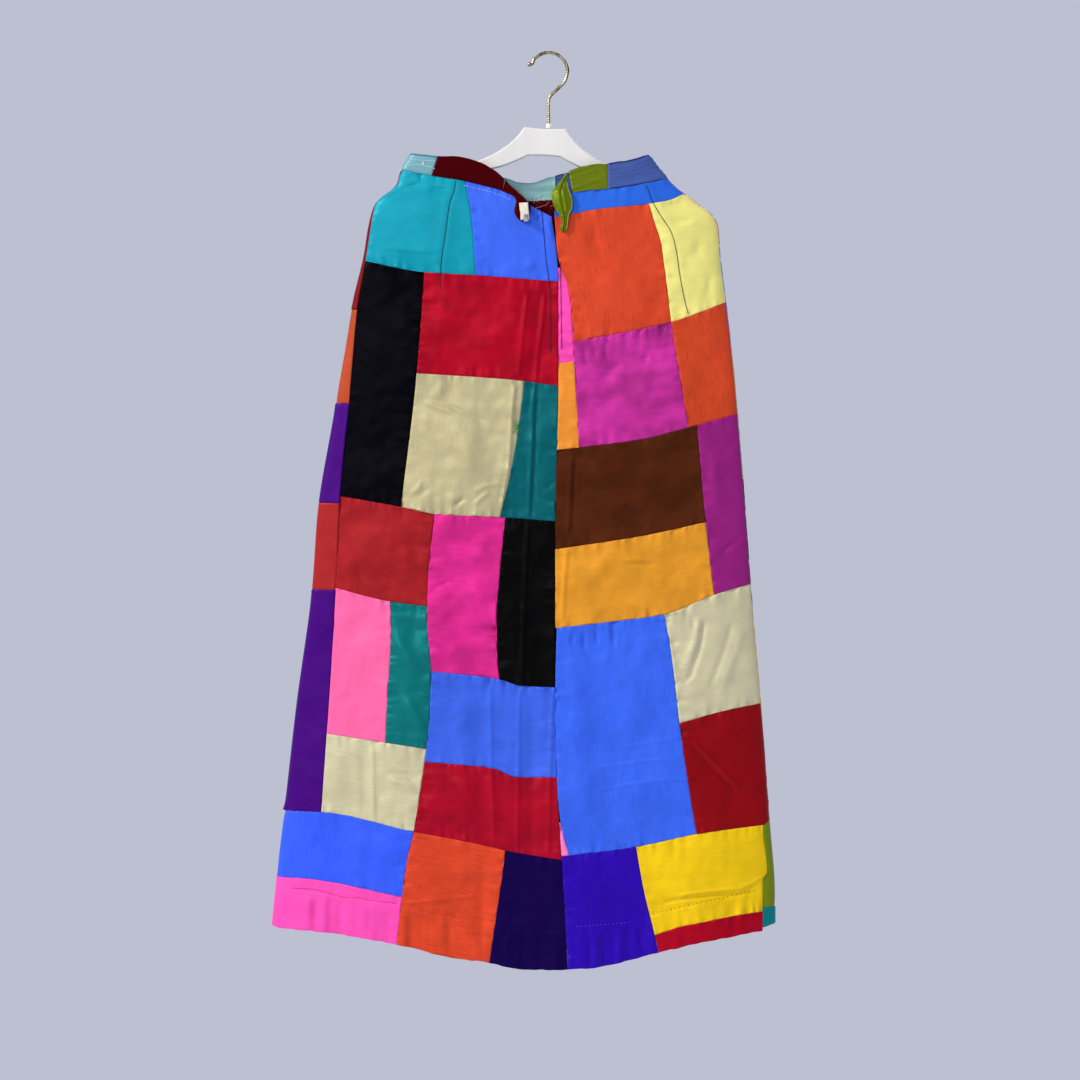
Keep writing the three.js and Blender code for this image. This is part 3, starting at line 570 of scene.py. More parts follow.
def fold_depth(side, x, z):
    depth = np.zeros_like(x)
    for on, head_x, head_z, foot_x, foot_z, half, full in FOLDS:
        if on == side:
            t = (z - head_z) / (foot_z - head_z)
            offset = (x - head_x - (foot_x - head_x) * t) / half
            depth += full * smooth(t) * np.exp(-offset * offset)
    return depth


def section(z):
    """The level section at a height: its middle, half its width, and its depth to the back and front."""
    z = np.clip(z, SECTIONS[-1][0], SECTIONS[0][0])
    left, right = LEFT(z), RIGHT(z)
    return (left + right) / 2, (right - left) / 2, BACK(z), FRONT(z)


def cloth_x(turn, z):
    centre, half, _, _ = section(z)
    return centre + half * np.sin(turn)


def cloth_point(turn, z):
    """A point of the cloth's outer face, by its turn round the section and its height."""
    centre, half, back_depth, front_depth = section(z)
    sine, cosine = np.sin(turn), np.cos(turn)
    x = centre + half * sine
    on_back = cosine > 0
    full = np.where(on_back, back_depth, front_depth)
    fold = np.where(on_back, fold_depth("back", x, z), fold_depth("front", x, z))
    depth = full * np.abs(cosine) ** EDGE_POWER + fold * (1 - sine**8)
    return np.stack([x, np.where(on_back, -depth, depth), z + 0 * x], axis=-1)


def cloth_normal(turn, z):
    step = 0.006
    round_it = cloth_point(turn + step, z) - cloth_point(turn - step, z)
    fall = cloth_point(turn, z - 2) - cloth_point(turn, z + 2)
    normal = np.cross(fall, round_it)
    return normal / np.linalg.norm(normal, axis=-1, keepdims=True)


def turn_at(x, z, side):
    """The turn at which a seam lies. Front pieces start at the right side seam and end at the left one.

    A back piece that starts on the front, round the left side, starts before that side's turn.
    """
    centre, half, _, _ = section(z)
    turn = np.arcsin(np.clip((x - centre) / half, -1, 1))
    if side == "front":
        return math.pi - turn
    if side == "before":
        return -math.pi - turn
    return 2 * math.pi + turn if side == "wrap" else turn


def along(points, x, z, half):
    """Distance of every (x, z) from a line of points, in half widths, and its share of the line's length."""
    best = np.full(x.shape, np.inf)
    share = np.zeros(x.shape)
    points = np.array(points, float)
    lengths = np.linalg.norm(np.diff(points, axis=0), axis=1)
    run = 0.0
    for (ax, az), (bx, bz), length in zip(points[:-1], points[1:], lengths):
        t = np.clip(((x - ax) * (bx - ax) + (z - az) * (bz - az)) / length**2, 0, 1)
        distance = np.hypot(x - ax - (bx - ax) * t, z - az - (bz - az) * t)
        closer = distance < best
        best = np.where(closer, distance, best)
        share = np.where(closer, (run + t * length) / lengths.sum(), share)
        run += length
    return best / half, share


def crease_depth(x, z):
    depth = np.zeros_like(x)
    for half, full, points in CREASES:
        reach = 3 * half
        xs, zs = [p[0] for p in points], [p[1] for p in points]
        near = (x > min(xs) - reach) & (x < max(xs) + reach) & (z > min(zs) - reach) & (z < max(zs) + reach)
        if near.any():
            off, share = along(points, x[near], z[near], half)
            length = sum(math.dist(a, b) for a, b in zip(points, points[1:]))
            ends = smooth(np.minimum(share, 1 - share) * max(length / (4 * half), 2))
            depth[near] += CREASE_SCALE * full * np.exp(-off * off) * ends
    for points in DARTS:
        for half, full, sharp in DART_RELIEF:
            off, share = along(points, x, z, half)
            depth += full * np.exp(-off * off) * smooth((1 - share) * sharp)
    return depth


def hem_line(side, x):
    if side == "front":
        return across["hem_front"](x)
    return np.where(x < ACROSS["hem_right"][0][0], across["hem_left"](x), across["hem_right"](x))


def relief(side, x, z):
    """How far the hung cloth stands off its smooth form."""
    waves = sum(height * field(side + name, x, z, length) for name, height, length in WAVES)
    waves *= TAUT_SHARE + (1 - TAUT_SHARE) * smooth((TAUT_FOOT - z) / TAUT_FADE)
    above = z - hem_line(side, x) - HEM
    stitch = 1.6 * wave(side + "stitch", x, STITCH_PITCH) ** 2
    hem = HEM_FOLD * smooth(-above / 1.5) - STITCH_SUNK * np.exp(-((above / 1.6) ** 2)) * (0.5 + stitch)
    (broad, full), (fine, slight) = HEM_RIPPLES
    ripple = full * wave(side + "hem", x, broad) * smooth(-above / 16)
    ripple += slight * wave(side + "hem2", x, fine) * np.exp(-(((above + 4) / 10) ** 2))
    total = waves + hem + ripple
    return total + crease_depth(x, z) if side == "back" else total


def puckers(name, seam, key, distance):
    """Small ripples that start at a seam and die out over the cloth beside it."""
    plain = SIDE_PUCKER if seam.startswith("side_") else PLAIN_PUCKER
    strength = PUCKERED.get((name, seam), plain)
    patchy = 0.5 + 0.5 * wave(name + seam + "patchy", key, 40)
    fine = 0.8 * wave(name + seam, key, FINE_PUCKER) * np.exp(-distance / 4.5)
    wide = wave(name + seam + "b", key, WIDE_PUCKER) * np.exp(-distance / (6 + 3.5 * strength))
    return PUCKER_HEIGHT * strength**0.8 * patchy * (fine + wide) * smooth(distance / 2 + 0.3)


def side_of(name, seam):
    if seam.startswith("front_") or seam == "band_seam_front":
        return "front" if is_front(name) else "before"
    return "wrap" if is_front(name) and seam == "side_left" else "back"


def is_front(name):
    return name.startswith(("front_", "band_front"))


def grid_stops(length, cell):
    """Shares of a length: close together beside both ends, then even."""
    beside = [edge / length for edge in BORDER if edge < length / 3]
    inner = np.linspace(0, 1, max(int(round(length / cell)), 2) + 1)[1:-1]
    last = beside[-1] if beside else 0
    inner = [s for s in inner if last * 1.4 < s < 1 - last * 1.4]
    return np.array([0, *beside, *inner, *[1 - s for s in reversed(beside)], 1])


def run_of(points, axis):
    """Distance covered along each row or column of a grid of points."""
    step = np.linalg.norm(np.diff(points, axis=axis), axis=-1)
    start = np.zeros_like(np.take(points, [0], axis=axis)[..., 0])
    return np.concatenate([start, np.cumsum(step, axis=axis)], axis=axis)


def grid_quads(rows, columns):
    place = np.arange(rows * columns).reshape(rows, columns)
    corners = place[:-1, :-1], place[1:, :-1], place[1:, 1:], place[:-1, 1:]
    return place, np.stack([corner.ravel() for corner in corners], axis=1)


def shell_mesh(name, outer, normals, thickness, uv):
    """A closed wall between a grid of points and the same grid moved in by its thickness."""
    inner = outer - normals * thickness
    points = np.concatenate([outer.reshape(-1, 3), inner.reshape(-1, 3)]) * MM
    place, face = grid_quads(*outer.shape[:2])
    count = place.size
    faces = [face, face[:, ::-1] + count]
    for line, forward in ((place[:, 0], True), (place[:, -1], False), (place[0], False), (place[-1], True)):
        p, q = (line[:-1], line[1:]) if forward else (line[1:], line[:-1])
        faces.append(np.stack([p, p + count, q + count, q], axis=1))
    faces = np.concatenate(faces)
    mesh = bpy.data.meshes.new(name)
    mesh.vertices.add(len(points))
    mesh.vertices.foreach_set("co", points.ravel())
    mesh.loops.add(faces.size)
    mesh.loops.foreach_set("vertex_index", faces.ravel())
    mesh.polygons.add(len(faces))
    mesh.polygons.foreach_set("loop_start", np.arange(0, faces.size, 4))
    mesh.polygons.foreach_set("use_smooth", np.ones(len(faces), bool))
    layer = mesh.uv_layers.new(name="cloth")
    both = np.concatenate([uv.reshape(-1, 2), uv.reshape(-1, 2)])
    layer.data.foreach_set("uv", both[faces.ravel()].ravel())
    mesh.update()
    mesh.validate()
    return mesh


def level(seam, x):
    """A seam's height, with the small unevenness of a free edge."""
    uneven = 0.7 * wave(seam + "edge", x, 8) if seam in FREE_EDGES else 0
    return across[seam](x) + uneven


def settle(name, top, foot, start_seam, end_seam, s, t):
    """The turn and height of a share s of the way round a patch and a share t of the way down it."""
    half = SEAM_GAP / 2
    start_side, end_side = side_of(name, start_seam), side_of(name, end_seam)
    start_shift = -half if start_side in ("front", "before") else half
    end_shift = half if end_side == "front" else -half
    z = np.full(np.broadcast(s, t).shape, (ACROSS[top][0][1] + ACROSS[foot][0][1]) / 2.0)
    for _ in range(SETTLE_ROUNDS):
        start = turn_at(down[start_seam](z) + start_shift, z, start_side)
        end = turn_at(down[end_seam](z) + end_shift, z, end_side)
        turn = start * (1 - s) + end * s
        x = cloth_x(turn, z)
        z = (level(top, x) - half) * (1 - t) + (level(foot, x) + half) * t
    return turn, z


def add_object(name, mesh, material):
    mesh.materials.append(material)
    made = bpy.data.objects.new(name, mesh)
    bpy.context.scene.collection.objects.link(made)
    return made


back_points, back_quads = [], []


def cloth_piece(name, node, material, edges, gathers=None):
    """One cut piece of cloth between two seams across the skirt and two down it."""
    top, foot, start_seam, end_seam = edges
    is_band = gathers is not None
    coarse = np.linspace(0, 1, 9)
    turn, z = settle(name, top, foot, start_seam, end_seam, coarse[None, :], coarse[:, None])
    rough = cloth_point(turn, z)
    width, height = run_of(rough, 1)[:, -1].max(), run_of(rough, 0)[-1].max()
    cell = BAND_CELL if is_band else HIDDEN_CELL if is_front(name) else CELL
    s, t = grid_stops(width, cell)[None, :], grid_stops(height, cell)[:, None]
    turn, z = settle(name, top, foot, start_seam, end_seam, s, t)
    smooth_form = cloth_point(turn, z)
    normals = cloth_normal(turn, z)
    x = smooth_form[..., 0]
    u, v = run_of(smooth_form, 1), run_of(smooth_form, 0)
    width, height = u[:, -1].max(), v[-1].max()
    borders = ((start_seam, u, z), (end_seam, u[:, -1:] - u, z), (top, v, x), (foot, v[-1:] - v, x))
    lift = relief("front" if is_front(name) else "back", x, z) * (1 - np.sin(turn) ** 12)
    if is_band:
        drift = v + 2.5 * wave(name + "drift", u, 18)
        gathered = gathers * wave(name + "gather", drift, 2.6) * (0.6 + 0.4 * wave(name, u, 12))
        lift = 0.4 * lift + gathered + BAND_LIFT
    else:
        for seam, distance, key in borders:
            if seam not in FREE_EDGES:
                lift = lift + puckers(name, seam, key, distance)
    edge = sum(np.exp(-((distance / EDGE_ROUND) ** 2)) for _, distance, _ in borders)
    lift = lift - EDGE_SUNK * np.minimum(edge, 1)
    outer = smooth_form + normals * lift[..., None]
    if not is_front(name):
        start = sum(len(points) for points in back_points)
        back_points.append(outer.reshape(-1, 3))
        back_quads.append(grid_quads(*outer.shape[:2])[1] + start)
    shift = seed(name) % 997
    uv = np.stack([u + shift, -v - shift], axis=-1)
    mesh = shell_mesh("cloth_" + name, outer, normals, BAND if is_band else SILK, uv)
    declare_cloth(add_object("cloth_" + name, mesh, material), node, u, v)


LEAST_SIDE, LEAST_SHARE = 10.5, 0.31  # of a piece's cut size, at least: its sides, and its area's share of their product


def declare_cloth(piece, node, u, v):
    """Hangs a piece of cloth on the root, hides the node it stands for, and works out the size it was cut
    to.
    """
    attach(piece, "root")
    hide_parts(node)
    width, height = max(u[:, -1].max(), LEAST_SIDE), max(v[-1].max(), LEAST_SIDE)
    area = (np.diff(u, axis=1)[:-1] * np.diff(v, axis=0)[:, :-1]).sum()
    area = min(max(area, LEAST_SHARE * width * height), width * height)


def linear(hex_colour):
    parts = [(hex_colour >> shift & 255) / 255 for shift in (16, 8, 0)]
    return np.array([c / 12.92 if c <= 0.04045 else ((c + 0.055) / 1.055) ** 2.4 for c in parts])


def opaque(colour):
    return (*[float(c) for c in np.clip(colour, 0, 1)], 1)


def new_material(name):
    material = bpy.data.materials.new(name)
    material.use_nodes = True
    tree = material.node_tree
    tree.nodes.clear()
    output = tree.nodes.new("ShaderNodeOutputMaterial")
    shader = tree.nodes.new("ShaderNodeBsdfPrincipled")
    tree.links.new(shader.outputs["BSDF"], output.inputs["Surface"])
    return material, tree, shader


def add_node(tree, kind, inputs=(), **settings):
    """A shader node; each input is a value or the output socket that feeds it."""
    made = tree.nodes.new("ShaderNode" + kind)
    for key, value in settings.items():
        setattr(made, key, value)
    for key, value in dict(inputs).items():
        if isinstance(value, bpy.types.NodeSocket):
            tree.links.new(value, made.inputs[key])
        else:
            made.inputs[key].default_value = value
    return made


def noise(tree, place, scale, detail=2.0, roughness=0.5):
    """Noise with its own scale along each direction, for each millimetre of cloth or metre of an object."""
    mapped = add_node(tree, "Mapping", {"Vector": place, "Scale": (*scale, 1)}).outputs[0]
    settings = {"Vector": mapped, "Scale": 1, "Detail": detail, "Roughness": roughness}
    return add_node(tree, "TexNoise", settings).outputs["Fac"]


def remap(tree, value, low, high, to_low=0.0, to_high=1.0):
    ends = {"Value": value, "From Min": low, "From Max": high, "To Min": to_low, "To Max": to_high}
    return add_node(tree, "MapRange", ends).outputs["Result"]


def mix_colour(tree, factor, a, b):
    return add_node(tree, "MixRGB", {"Fac": factor, "Color1": a, "Color2": b}).outputs[0]


def mathed(tree, operation, a, b):
    return add_node(tree, "Math", {0: a, 1: b}, operation=operation).outputs[0]


def add_bump(tree, shader, height, strength, distance):
    bump = add_node(tree, "Bump", {"Height": height, "Strength": strength, "Distance": distance})
    tree.links.new(bump.outputs[0], shader.inputs["Normal"])


# Noise in the silk, along and across its grain: scales, detail, roughness
WEFT = ((0.05, 1.1), 3.0, 0.6)
WARP = ((1.3, 0.06), 2.0, 0.5)
THICK_THREADS = ((0.028, 0.42), 2.0, 0.55)
CLOUDS = ((0.02, 0.03), 2.0, 0.5)
SPECKS = ((0.11, 0.5), 3.0, 0.6)
DARKEST = 0.0006


def silk(name, colour, grain, slubs):
    """Slubby silk: fine crossed threads, uneven thick ones along the grain, and clouds of shade."""
    material, tree, shader = new_material("look_" + name)
    base = np.maximum(linear(colour) - SHEEN_SHARE, DARKEST)
    gloss = DARK_GLOSS if base.max() < DARK_CLOTH else GLOSSY.get(name, PLAIN_GLOSS)
    contrast = 0.04 + 0.1 * slubs
    slub = linear(SLUB_COLOURS[name]) if name in SLUB_COLOURS else base * 0.5
    place = add_node(tree, "UVMap", uv_map="cloth").outputs[0]
    turned = add_node(tree, "Mapping", {"Vector": place, "Rotation": (0, 0, math.radians(grain))}).outputs[0]
    weft = mathed(tree, "MULTIPLY", noise(tree, turned, *WEFT), 0.7)
    warp = mathed(tree, "MULTIPLY", noise(tree, turned, *WARP), 0.3)
    thick, cloudy, spots = (noise(tree, turned, *kind) for kind in (THICK_THREADS, CLOUDS, SPECKS))
    threads = remap(tree, mathed(tree, "ADD", weft, warp), 0.36, 0.64)
    mixed = mix_colour(tree, threads, opaque(base * (1 - contrast)), opaque(base * (1 + contrast)))
    slub_share = remap(tree, thick, 0.6, 0.7, 0.0, 0.5 * slubs)
    mixed = mix_colour(tree, slub_share, mixed, opaque(base * 0.35 + slub * 0.5))
    speck_share = remap(tree, spots, 0.66, 0.74, 0.0, 0.85 * slubs)
    mixed = mix_colour(tree, speck_share, mixed, opaque(slub * 0.85))
    pale_share = remap(tree, thick, 0.4, 0.3, 0.0, 0.4 * slubs)
    mixed = mix_colour(tree, pale_share, mixed, opaque(base * 1.25))
    cloud_share = remap(tree, cloudy, 0.42, 0.6, 0.0, CLOUDED.get(name, PLAIN_CLOUDS))
    mixed = mix_colour(tree, cloud_share, mixed, opaque(base * 0.6))
    tree.links.new(mixed, shader.inputs["Base Color"])
    ridges = mathed(tree, "MULTIPLY", slub_share, 1.6)
    add_bump(tree, shader, mathed(tree, "ADD", mathed(tree, "MULTIPLY", threads, 0.5), ridges), 0.35, 0.0004)
    tree.links.new(remap(tree, threads, 0, 1, 0.34, 0.42), shader.inputs["Roughness"])
    shader.inputs["Specular IOR Level"].default_value = gloss
    shader.inputs["Specular Tint"].default_value = opaque(base / base.max() * 0.9 + 0.1)
    return material


def plain_cloth(name, colour):
    """Plain woven tape or thread."""
    material, tree, shader = new_material("look_" + name)
    base = linear(colour)
    place = add_node(tree, "TexCoord").outputs["Object"]
    grain = noise(tree, place, (1600, 1600), 2.0)
    mixed = mix_colour(tree, remap(tree, grain, 0.35, 0.65), opaque(base * 0.75), opaque(base * 1.15))
    tree.links.new(mixed, shader.inputs["Base Color"])
    add_bump(tree, shader, grain, 0.5, 0.0003)
    shader.inputs["Roughness"].default_value = 0.8
    shader.inputs["Specular IOR Level"].default_value = 0.2
    return material


def metal(name, colour, dark, roughness):
    """Plated wire with tarnish in patches."""
    material, tree, shader = new_material("look_" + name)
    place = add_node(tree, "TexCoord").outputs["Object"]
    stain = noise(tree, place, (180, 180), 4.0, 0.6)
    mixed = mix_colour(tree, remap(tree, stain, 0.38, 0.62), opaque(linear(dark)), opaque(linear(colour)))
    tree.links.new(mixed, shader.inputs["Base Color"])
    tree.links.new(remap(tree, stain, 0.3, 0.7, roughness + 0.12, roughness), shader.inputs["Roughness"])
    add_bump(tree, shader, noise(tree, place, (900, 900), 2.0), 0.2, 0.0002)
    shader.inputs["Metallic"].default_value = 1.0
    return material


def plastic(name, colour):
    """Moulded plastic with a satin surface and a little grime."""
    material, tree, shader = new_material("look_" + name)
    place = add_node(tree, "TexCoord").outputs["Object"]
    wear = noise(tree, place, (35, 35), 3.0)
    base = linear(colour)
    mixed = mix_colour(tree, remap(tree, wear, 0.4, 0.6), opaque(base * 0.94), opaque(base))
    tree.links.new(mixed, shader.inputs["Base Color"])
    tree.links.new(remap(tree, wear, 0.3, 0.7, 0.28, 0.4), shader.inputs["Roughness"])
    add_bump(tree, shader, noise(tree, place, (1500, 1500), 2.0), 0.06, 0.0002)
    return material


def tube_parts(points, radii, sides):
    """Rings of points round a path, and the faces between them."""
    points = np.asarray(points, float)
    radii = np.broadcast_to(radii, len(points))
    ahead = np.gradient(points, axis=0)
    ahead /= np.linalg.norm(ahead, axis=1, keepdims=True)
    guide = np.array([0.0, 1.0, 0.0]) if abs(ahead[0][1]) < 0.9 else np.array([1.0, 0.0, 0.0])
    angle = np.arange(sides) / sides * 2 * math.pi
    rings = []
    for point, forward, radius in zip(points, ahead, radii):
        guide = guide - forward * guide.dot(forward)
        guide /= np.linalg.norm(guide)
        other = np.cross(forward, guide)
        rings.append(point + radius * (np.outer(np.cos(angle), guide) + np.outer(np.sin(angle), other)))
    vertices = np.concatenate(rings)
    faces = []
    for ring in range(len(points) - 1):
        for k in range(sides):
            a, b = ring * sides + k, ring * sides + (k + 1) % sides
            faces.append((a, b, b + sides, a + sides))
    faces.append(tuple(reversed(range(sides))))
    faces.append(tuple(range(len(vertices) - sides, len(vertices))))
    return vertices, faces


def tubes(name, lines, radius, material, sides=6):
    """One mesh of many thin tubes, each along its own line."""
    vertices, faces, base = [], [], 0
    for line in lines:
        ring_points, ring_faces = tube_parts(line, radius, sides)
        vertices.append(ring_points)
        faces += [tuple(i + base for i in face) for face in ring_faces]
        base += len(ring_points)
    mesh = bpy.data.meshes.new(name)
    mesh.from_pydata((np.concatenate(vertices) * MM).tolist(), [], faces)
    mesh.polygons.foreach_set("use_smooth", np.ones(len(faces), bool))
    mesh.update()
    piece = add_object(name, mesh, material)
    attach(piece, "root")
    return piece


def smooth_path(points, per_span):
    """A smooth line through the points."""
    points = [np.array(p, float) for p in points]
    padded = [2 * points[0] - points[1], *points, 2 * points[-1] - points[-2]]
    path = []
    for a, b, c, d in zip(padded, padded[1:], padded[2:], padded[3:]):
        for t in np.arange(per_span) / per_span:
            cubic = (2 * a - 5 * b + 4 * c - d) * t**2 + (3 * b - a - 3 * c + d) * t**3
            path.append(0.5 * (2 * b + (c - a) * t + cubic))
    path.append(points[-1])
    return np.array(path)


# The camera looks along +Y at the skirt's back, level with the middle of the photograph's frame
VIEW_CENTRE = (-10.0, -608.4)
VIEW_HALF = 675.0
VIEW_DISTANCE = 5000.0
VIEW_PLANE = -10.0  # where the cloth's face lies, for the scale
camera_data = bpy.data.cameras.new("camera")
camera_data.sensor_width = 36
camera_data.lens = 18 * VIEW_DISTANCE / VIEW_HALF
camera = bpy.data.objects.new("camera", camera_data)
camera.location = (VIEW_CENTRE[0] * MM, (VIEW_PLANE - VIEW_DISTANCE) * MM, VIEW_CENTRE[1] * MM)
camera.rotation_euler = (math.pi / 2, 0, 0)
bpy.context.scene.collection.objects.link(camera)
bpy.context.scene.camera = camera

for patch, (slot, colour, grain, slubs, *edges) in PATCHES.items():
    cloth_piece(patch, patch, silk(patch, colour, grain, slubs), edges)

for node, rows in INNER.items():
    for label, slot, colour, top, foot in rows:
        patch = f"{node}_{label}"
        cloth_piece(patch, node, silk(patch, colour, 0, 0.5), (top, foot, *INNER_SIDES[node]))

for band, (slot, colour, gathers, *edges) in BANDS.items():
    node = "band_front" if band.startswith("band_front") else band
    cloth_piece(band, node, silk(band, colour, 0, 0.5), edges, gathers)

# The back as one surface, for what is sewn on it or lies on it
surface = BVHTree.FromPolygons(np.concatenate(back_points).tolist(), np.concatenate(back_quads).tolist())


def on_back(points, lift):
    """Points (x, z) laid on the hung back, a height above it."""
    laid = []
    for x, z in points:
        beside = ((x, z), (x + 0.3, z + 0.3), (x - 0.3, z - 0.3))  # past the gap of a seam
        hits = [surface.ray_cast(Vector((px, -200, pz)), Vector((0, 1, 0)))[0] for px, pz in beside]
        found = [hit.y for hit in hits if hit]
        y = min(found) if found else float(cloth_point(turn_at(x, z, "back"), z)[1])
        laid.append((x, y - lift, z))
    return np.array(laid)


def flat_path(points, per_span):
    return smooth_path([(x, 0, z) for x, z in points], per_span)[:, [0, 2]]


def dashes(points, dash, gap, lift):
    """Short lengths of thread along a line of (x, z) points, as stitches."""
    path = flat_path(points, 24)
    run = np.concatenate([[0], np.cumsum(np.linalg.norm(np.diff(path, axis=0), axis=1))])
    arch = np.array([-0.35, 0.1, 0.25, 0.1, -0.35])
    lines = []
    for at in np.arange(0, run[-1] - dash, dash + gap):
        keys = at + dash * np.linspace(0, 1, len(arch))
        flat = np.stack([np.interp(keys, run, path[:, 0]), np.interp(keys, run, path[:, 1])], axis=1)
        lines.append(on_back(flat, lift) - np.outer(arch, (0, 1, 0)))
    return lines


# Loose ends of the waistband and its tape: slot, colour, thickness, crown, and rows from the left
# edge (a) to the right edge (b): ax, az, bx, bz, lift above the skirt's back
LOOSE = {
    "band_burgundy_end": ("silk_burgundy", 0x45040F, 1.2, 2.0, [
        (-57.0, -173.5, -53, -158.5, 0.3),
        (-50, -176, -46, -167, 2.0),
        (-44, -179, -38, -174, 3.6),
        (-40, -186, -30, -181.5, 4.8),
        (-42, -198, -21.5, -193.5, 5.2),
        (-39, -206, -22.5, -203, 5.1),
        (-33, -212, -29, -211, 4.6),
    ]),
    # The flap's olive is a little darker than the band's: painted shade of the hanging flap.
    "band_olive_end": ("silk_olive", 0x5F6E16, 1.2, 2.8, [
        (22, -149, 26, -157, 1.2),
        (17, -158, 23.5, -159, 1.8),
        (10, -167, 25, -168, 3.6),
        (4.5, -176, 28, -177, 4.8),
        (5, -185, 30.5, -186, 5.4),
        (8.5, -195, 30, -195, 5.4),
        (15, -205, 26, -204, 5.2),
        (17, -213, 25, -212, 4.9),
        (15, -219, 24, -219.5, 4.7),
        (17.5, -225, 20.5, -225, 4.5),
    ]),
    "band_tape": ("cotton_tape", 0xE6E2D2, 1.0, 0.3, [
        (-36, -188.5, -25, -188, 8.0),
        (-34, -210, -23, -209, 7.6),
    ]),
}
loose_edges = {}


def narrow_cloth(name, look, outer, thickness):
    """A strip of cloth beside the opening, which faces the viewer all over."""
    facing = np.zeros_like(outer) - (0, 1, 0)
    u, v = run_of(outer, 1), run_of(outer, 0)
    mesh = shell_mesh("cloth_" + name, outer, facing, thickness, np.stack([u, -v], axis=-1))
    declare_cloth(add_object("cloth_" + name, mesh, look), name, u, v)


def loose_piece(name, slot, colour, thickness, crown, rows):
    """A strip that hangs off the back, crowned across and smooth along."""
    key = np.arange(len(rows))
    at = np.linspace(0, len(rows) - 1, 12 * (len(rows) - 1) + 1)
    columns = [Line(list(zip(key, [row[i] for row in rows])))(at) for i in range(5)]
    s = np.linspace(0, 1, 19)[None, :]
    ax, az, bx, bz, lift = (column[:, None] for column in columns)
    x, z = ax * (1 - s) + bx * s, az * (1 - s) + bz * s
    base = cloth_point(turn_at(x, z, "back"), z)
    wide = np.abs(bx - ax) + np.abs(bz - az)
    crowned = crown * (4 * s * (1 - s)) * np.clip(wide / 24, 0.2, 1)
    pleats = -1.3 * np.exp(-(((s - 0.5) / 0.06) ** 2)) + 0.9 * wave(name, s * 24, 3) if crown > 1 else 0
    rise = lift + crowned + pleats + 0.3 * crown * field(name, x, z, 4.5)
    rise = rise - 0.7 * np.exp(-((s / 0.05) ** 2)) - 0.7 * np.exp(-(((1 - s) / 0.05) ** 2))
    outer = base + np.stack([0 * x, -rise, 0 * x], axis=-1)
    loose_edges[name] = outer[:, 0], outer[:, -1]
    look = silk(name, colour, 90, 0.5) if slot.startswith("silk") else plain_cloth(name, colour)
    narrow_cloth(name, look, outer, thickness)


for name, settings in LOOSE.items():
    loose_piece(name, *settings)

# The zip's two tapes lie behind the edges of the opening and behind the seam below it
ZIP_TOP, ZIP_CLOSED, ZIP_FOOT = -214, -266, -405
ZIP_WIDTH, ZIP_THICK, ZIP_SUNK = 12, 1.0, 3.6
zip_look = plain_cloth("zip", 0x2A1C24)
for name, seam, toward in (("zip_left", "centre_left", -1), ("zip_right", "opening_right", 1)):
    z = np.linspace(ZIP_TOP, ZIP_FOOT, 90)[:, None]
    share = np.linspace(0, 1, 7)[None, :] if toward > 0 else np.linspace(1, 0, 7)[None, :]
    edge = np.where(z < ZIP_CLOSED, down["centre_left"](z), down[seam](z))
    x = edge + toward * (0.3 + share * ZIP_WIDTH)
    z = z + 0 * x
    tape = cloth_point(turn_at(x, z, "back"), z)
    tape[..., 1] += ZIP_SUNK - np.minimum(relief("back", x, z), 0)
    narrow_cloth(name, zip_look, tape, ZIP_THICK)

# The dart colour below is no thread's: it is painted shade, the dark line along each dart's fold.
THREADS = {
    # The navy is the zip's real stitching, its dark colour partly painted shade of the groove it lies in.
    "navy_thread_and_groove_shade": 0x0C1230, "pale_thread": 0xDFE6E4, "dart_fold_shadow": 0x14343A, "pink_thread": 0x9A2560,
    "yellow_thread": 0x7A5A10, "violet_thread": 0x7A74C8,
}
# Rows of stitches, and of dark lines painted as shade: thread, its radius, a stitch's length, the gap after
# it, its height, and the rows' points
STITCHES = {
    # Real stitches, drawn dark partly as painted shade of their groove.
    "zip_stitches": ("navy_thread_and_groove_shade", 0.42, 2.8, 0.7, 0.35, [
        [(-8, -198), (-5, -230), (-3, -254), (1, -284), (3, -302), (3, -334), (3, -376)],
        [(15, -262), (16, -300), (17, -372)],
    ]),
    # The darts' dashes are no stitches: a dark line painted as the shadow of each dart's fold.
    "dart_stitches": ("dart_fold_shadow", 0.42, 3.4, 0.3, 0.3, DARTS),
    "yoke_stitches": ("pale_thread", 0.3, 1.4, 2.2, 0.3, [[(-104, -166), (-72, -174), (-46, -184)]]),
    "band_stitches": ("pale_thread", 0.32, 2.4, 0.8, 0.3, [
        [(-172, -133), (-139, -135)],
        [(-178, -141), (-165, -139), (-148, -142), (-141, -145)],
    ]),
    "pink_stitches": ("pink_thread", 0.3, 2.2, 1.6, 0.25, [
        [(-319, -1043), (-294, -1044), (-276, -1048), (-256, -1053), (-236, -1054), (-220, -1057),
         (-186, -1061)],
    ]),
    "yellow_stitches": ("yellow_thread", 0.34, 1.0, 4.6, 0.2, [
        [(131, -1075), (174, -1063), (227, -1052), (261, -1044.5)],
    ]),
    "violet_stitches": ("violet_thread", 0.3, 1.0, 4.0, 0.2, [[(36, -1089), (70, -1087), (105, -1084.6)]]),
}
BAR_TACK = [[(x, -136), (x, -138), (x, -140)] for x in (-156.6, -156, -155.4)]  # upright ones in the band
threads = {name: plain_cloth(name, colour) for name, colour in THREADS.items()}
for name, (thread, radius, dash, gap, lift, rows) in STITCHES.items():
    lines = [line for row in rows for line in dashes(row, dash, gap, lift)]
    if name == "band_stitches":
        lines += [on_back(row, 0.4) for row in BAR_TACK]
    tubes(name, lines, radius, threads[thread])
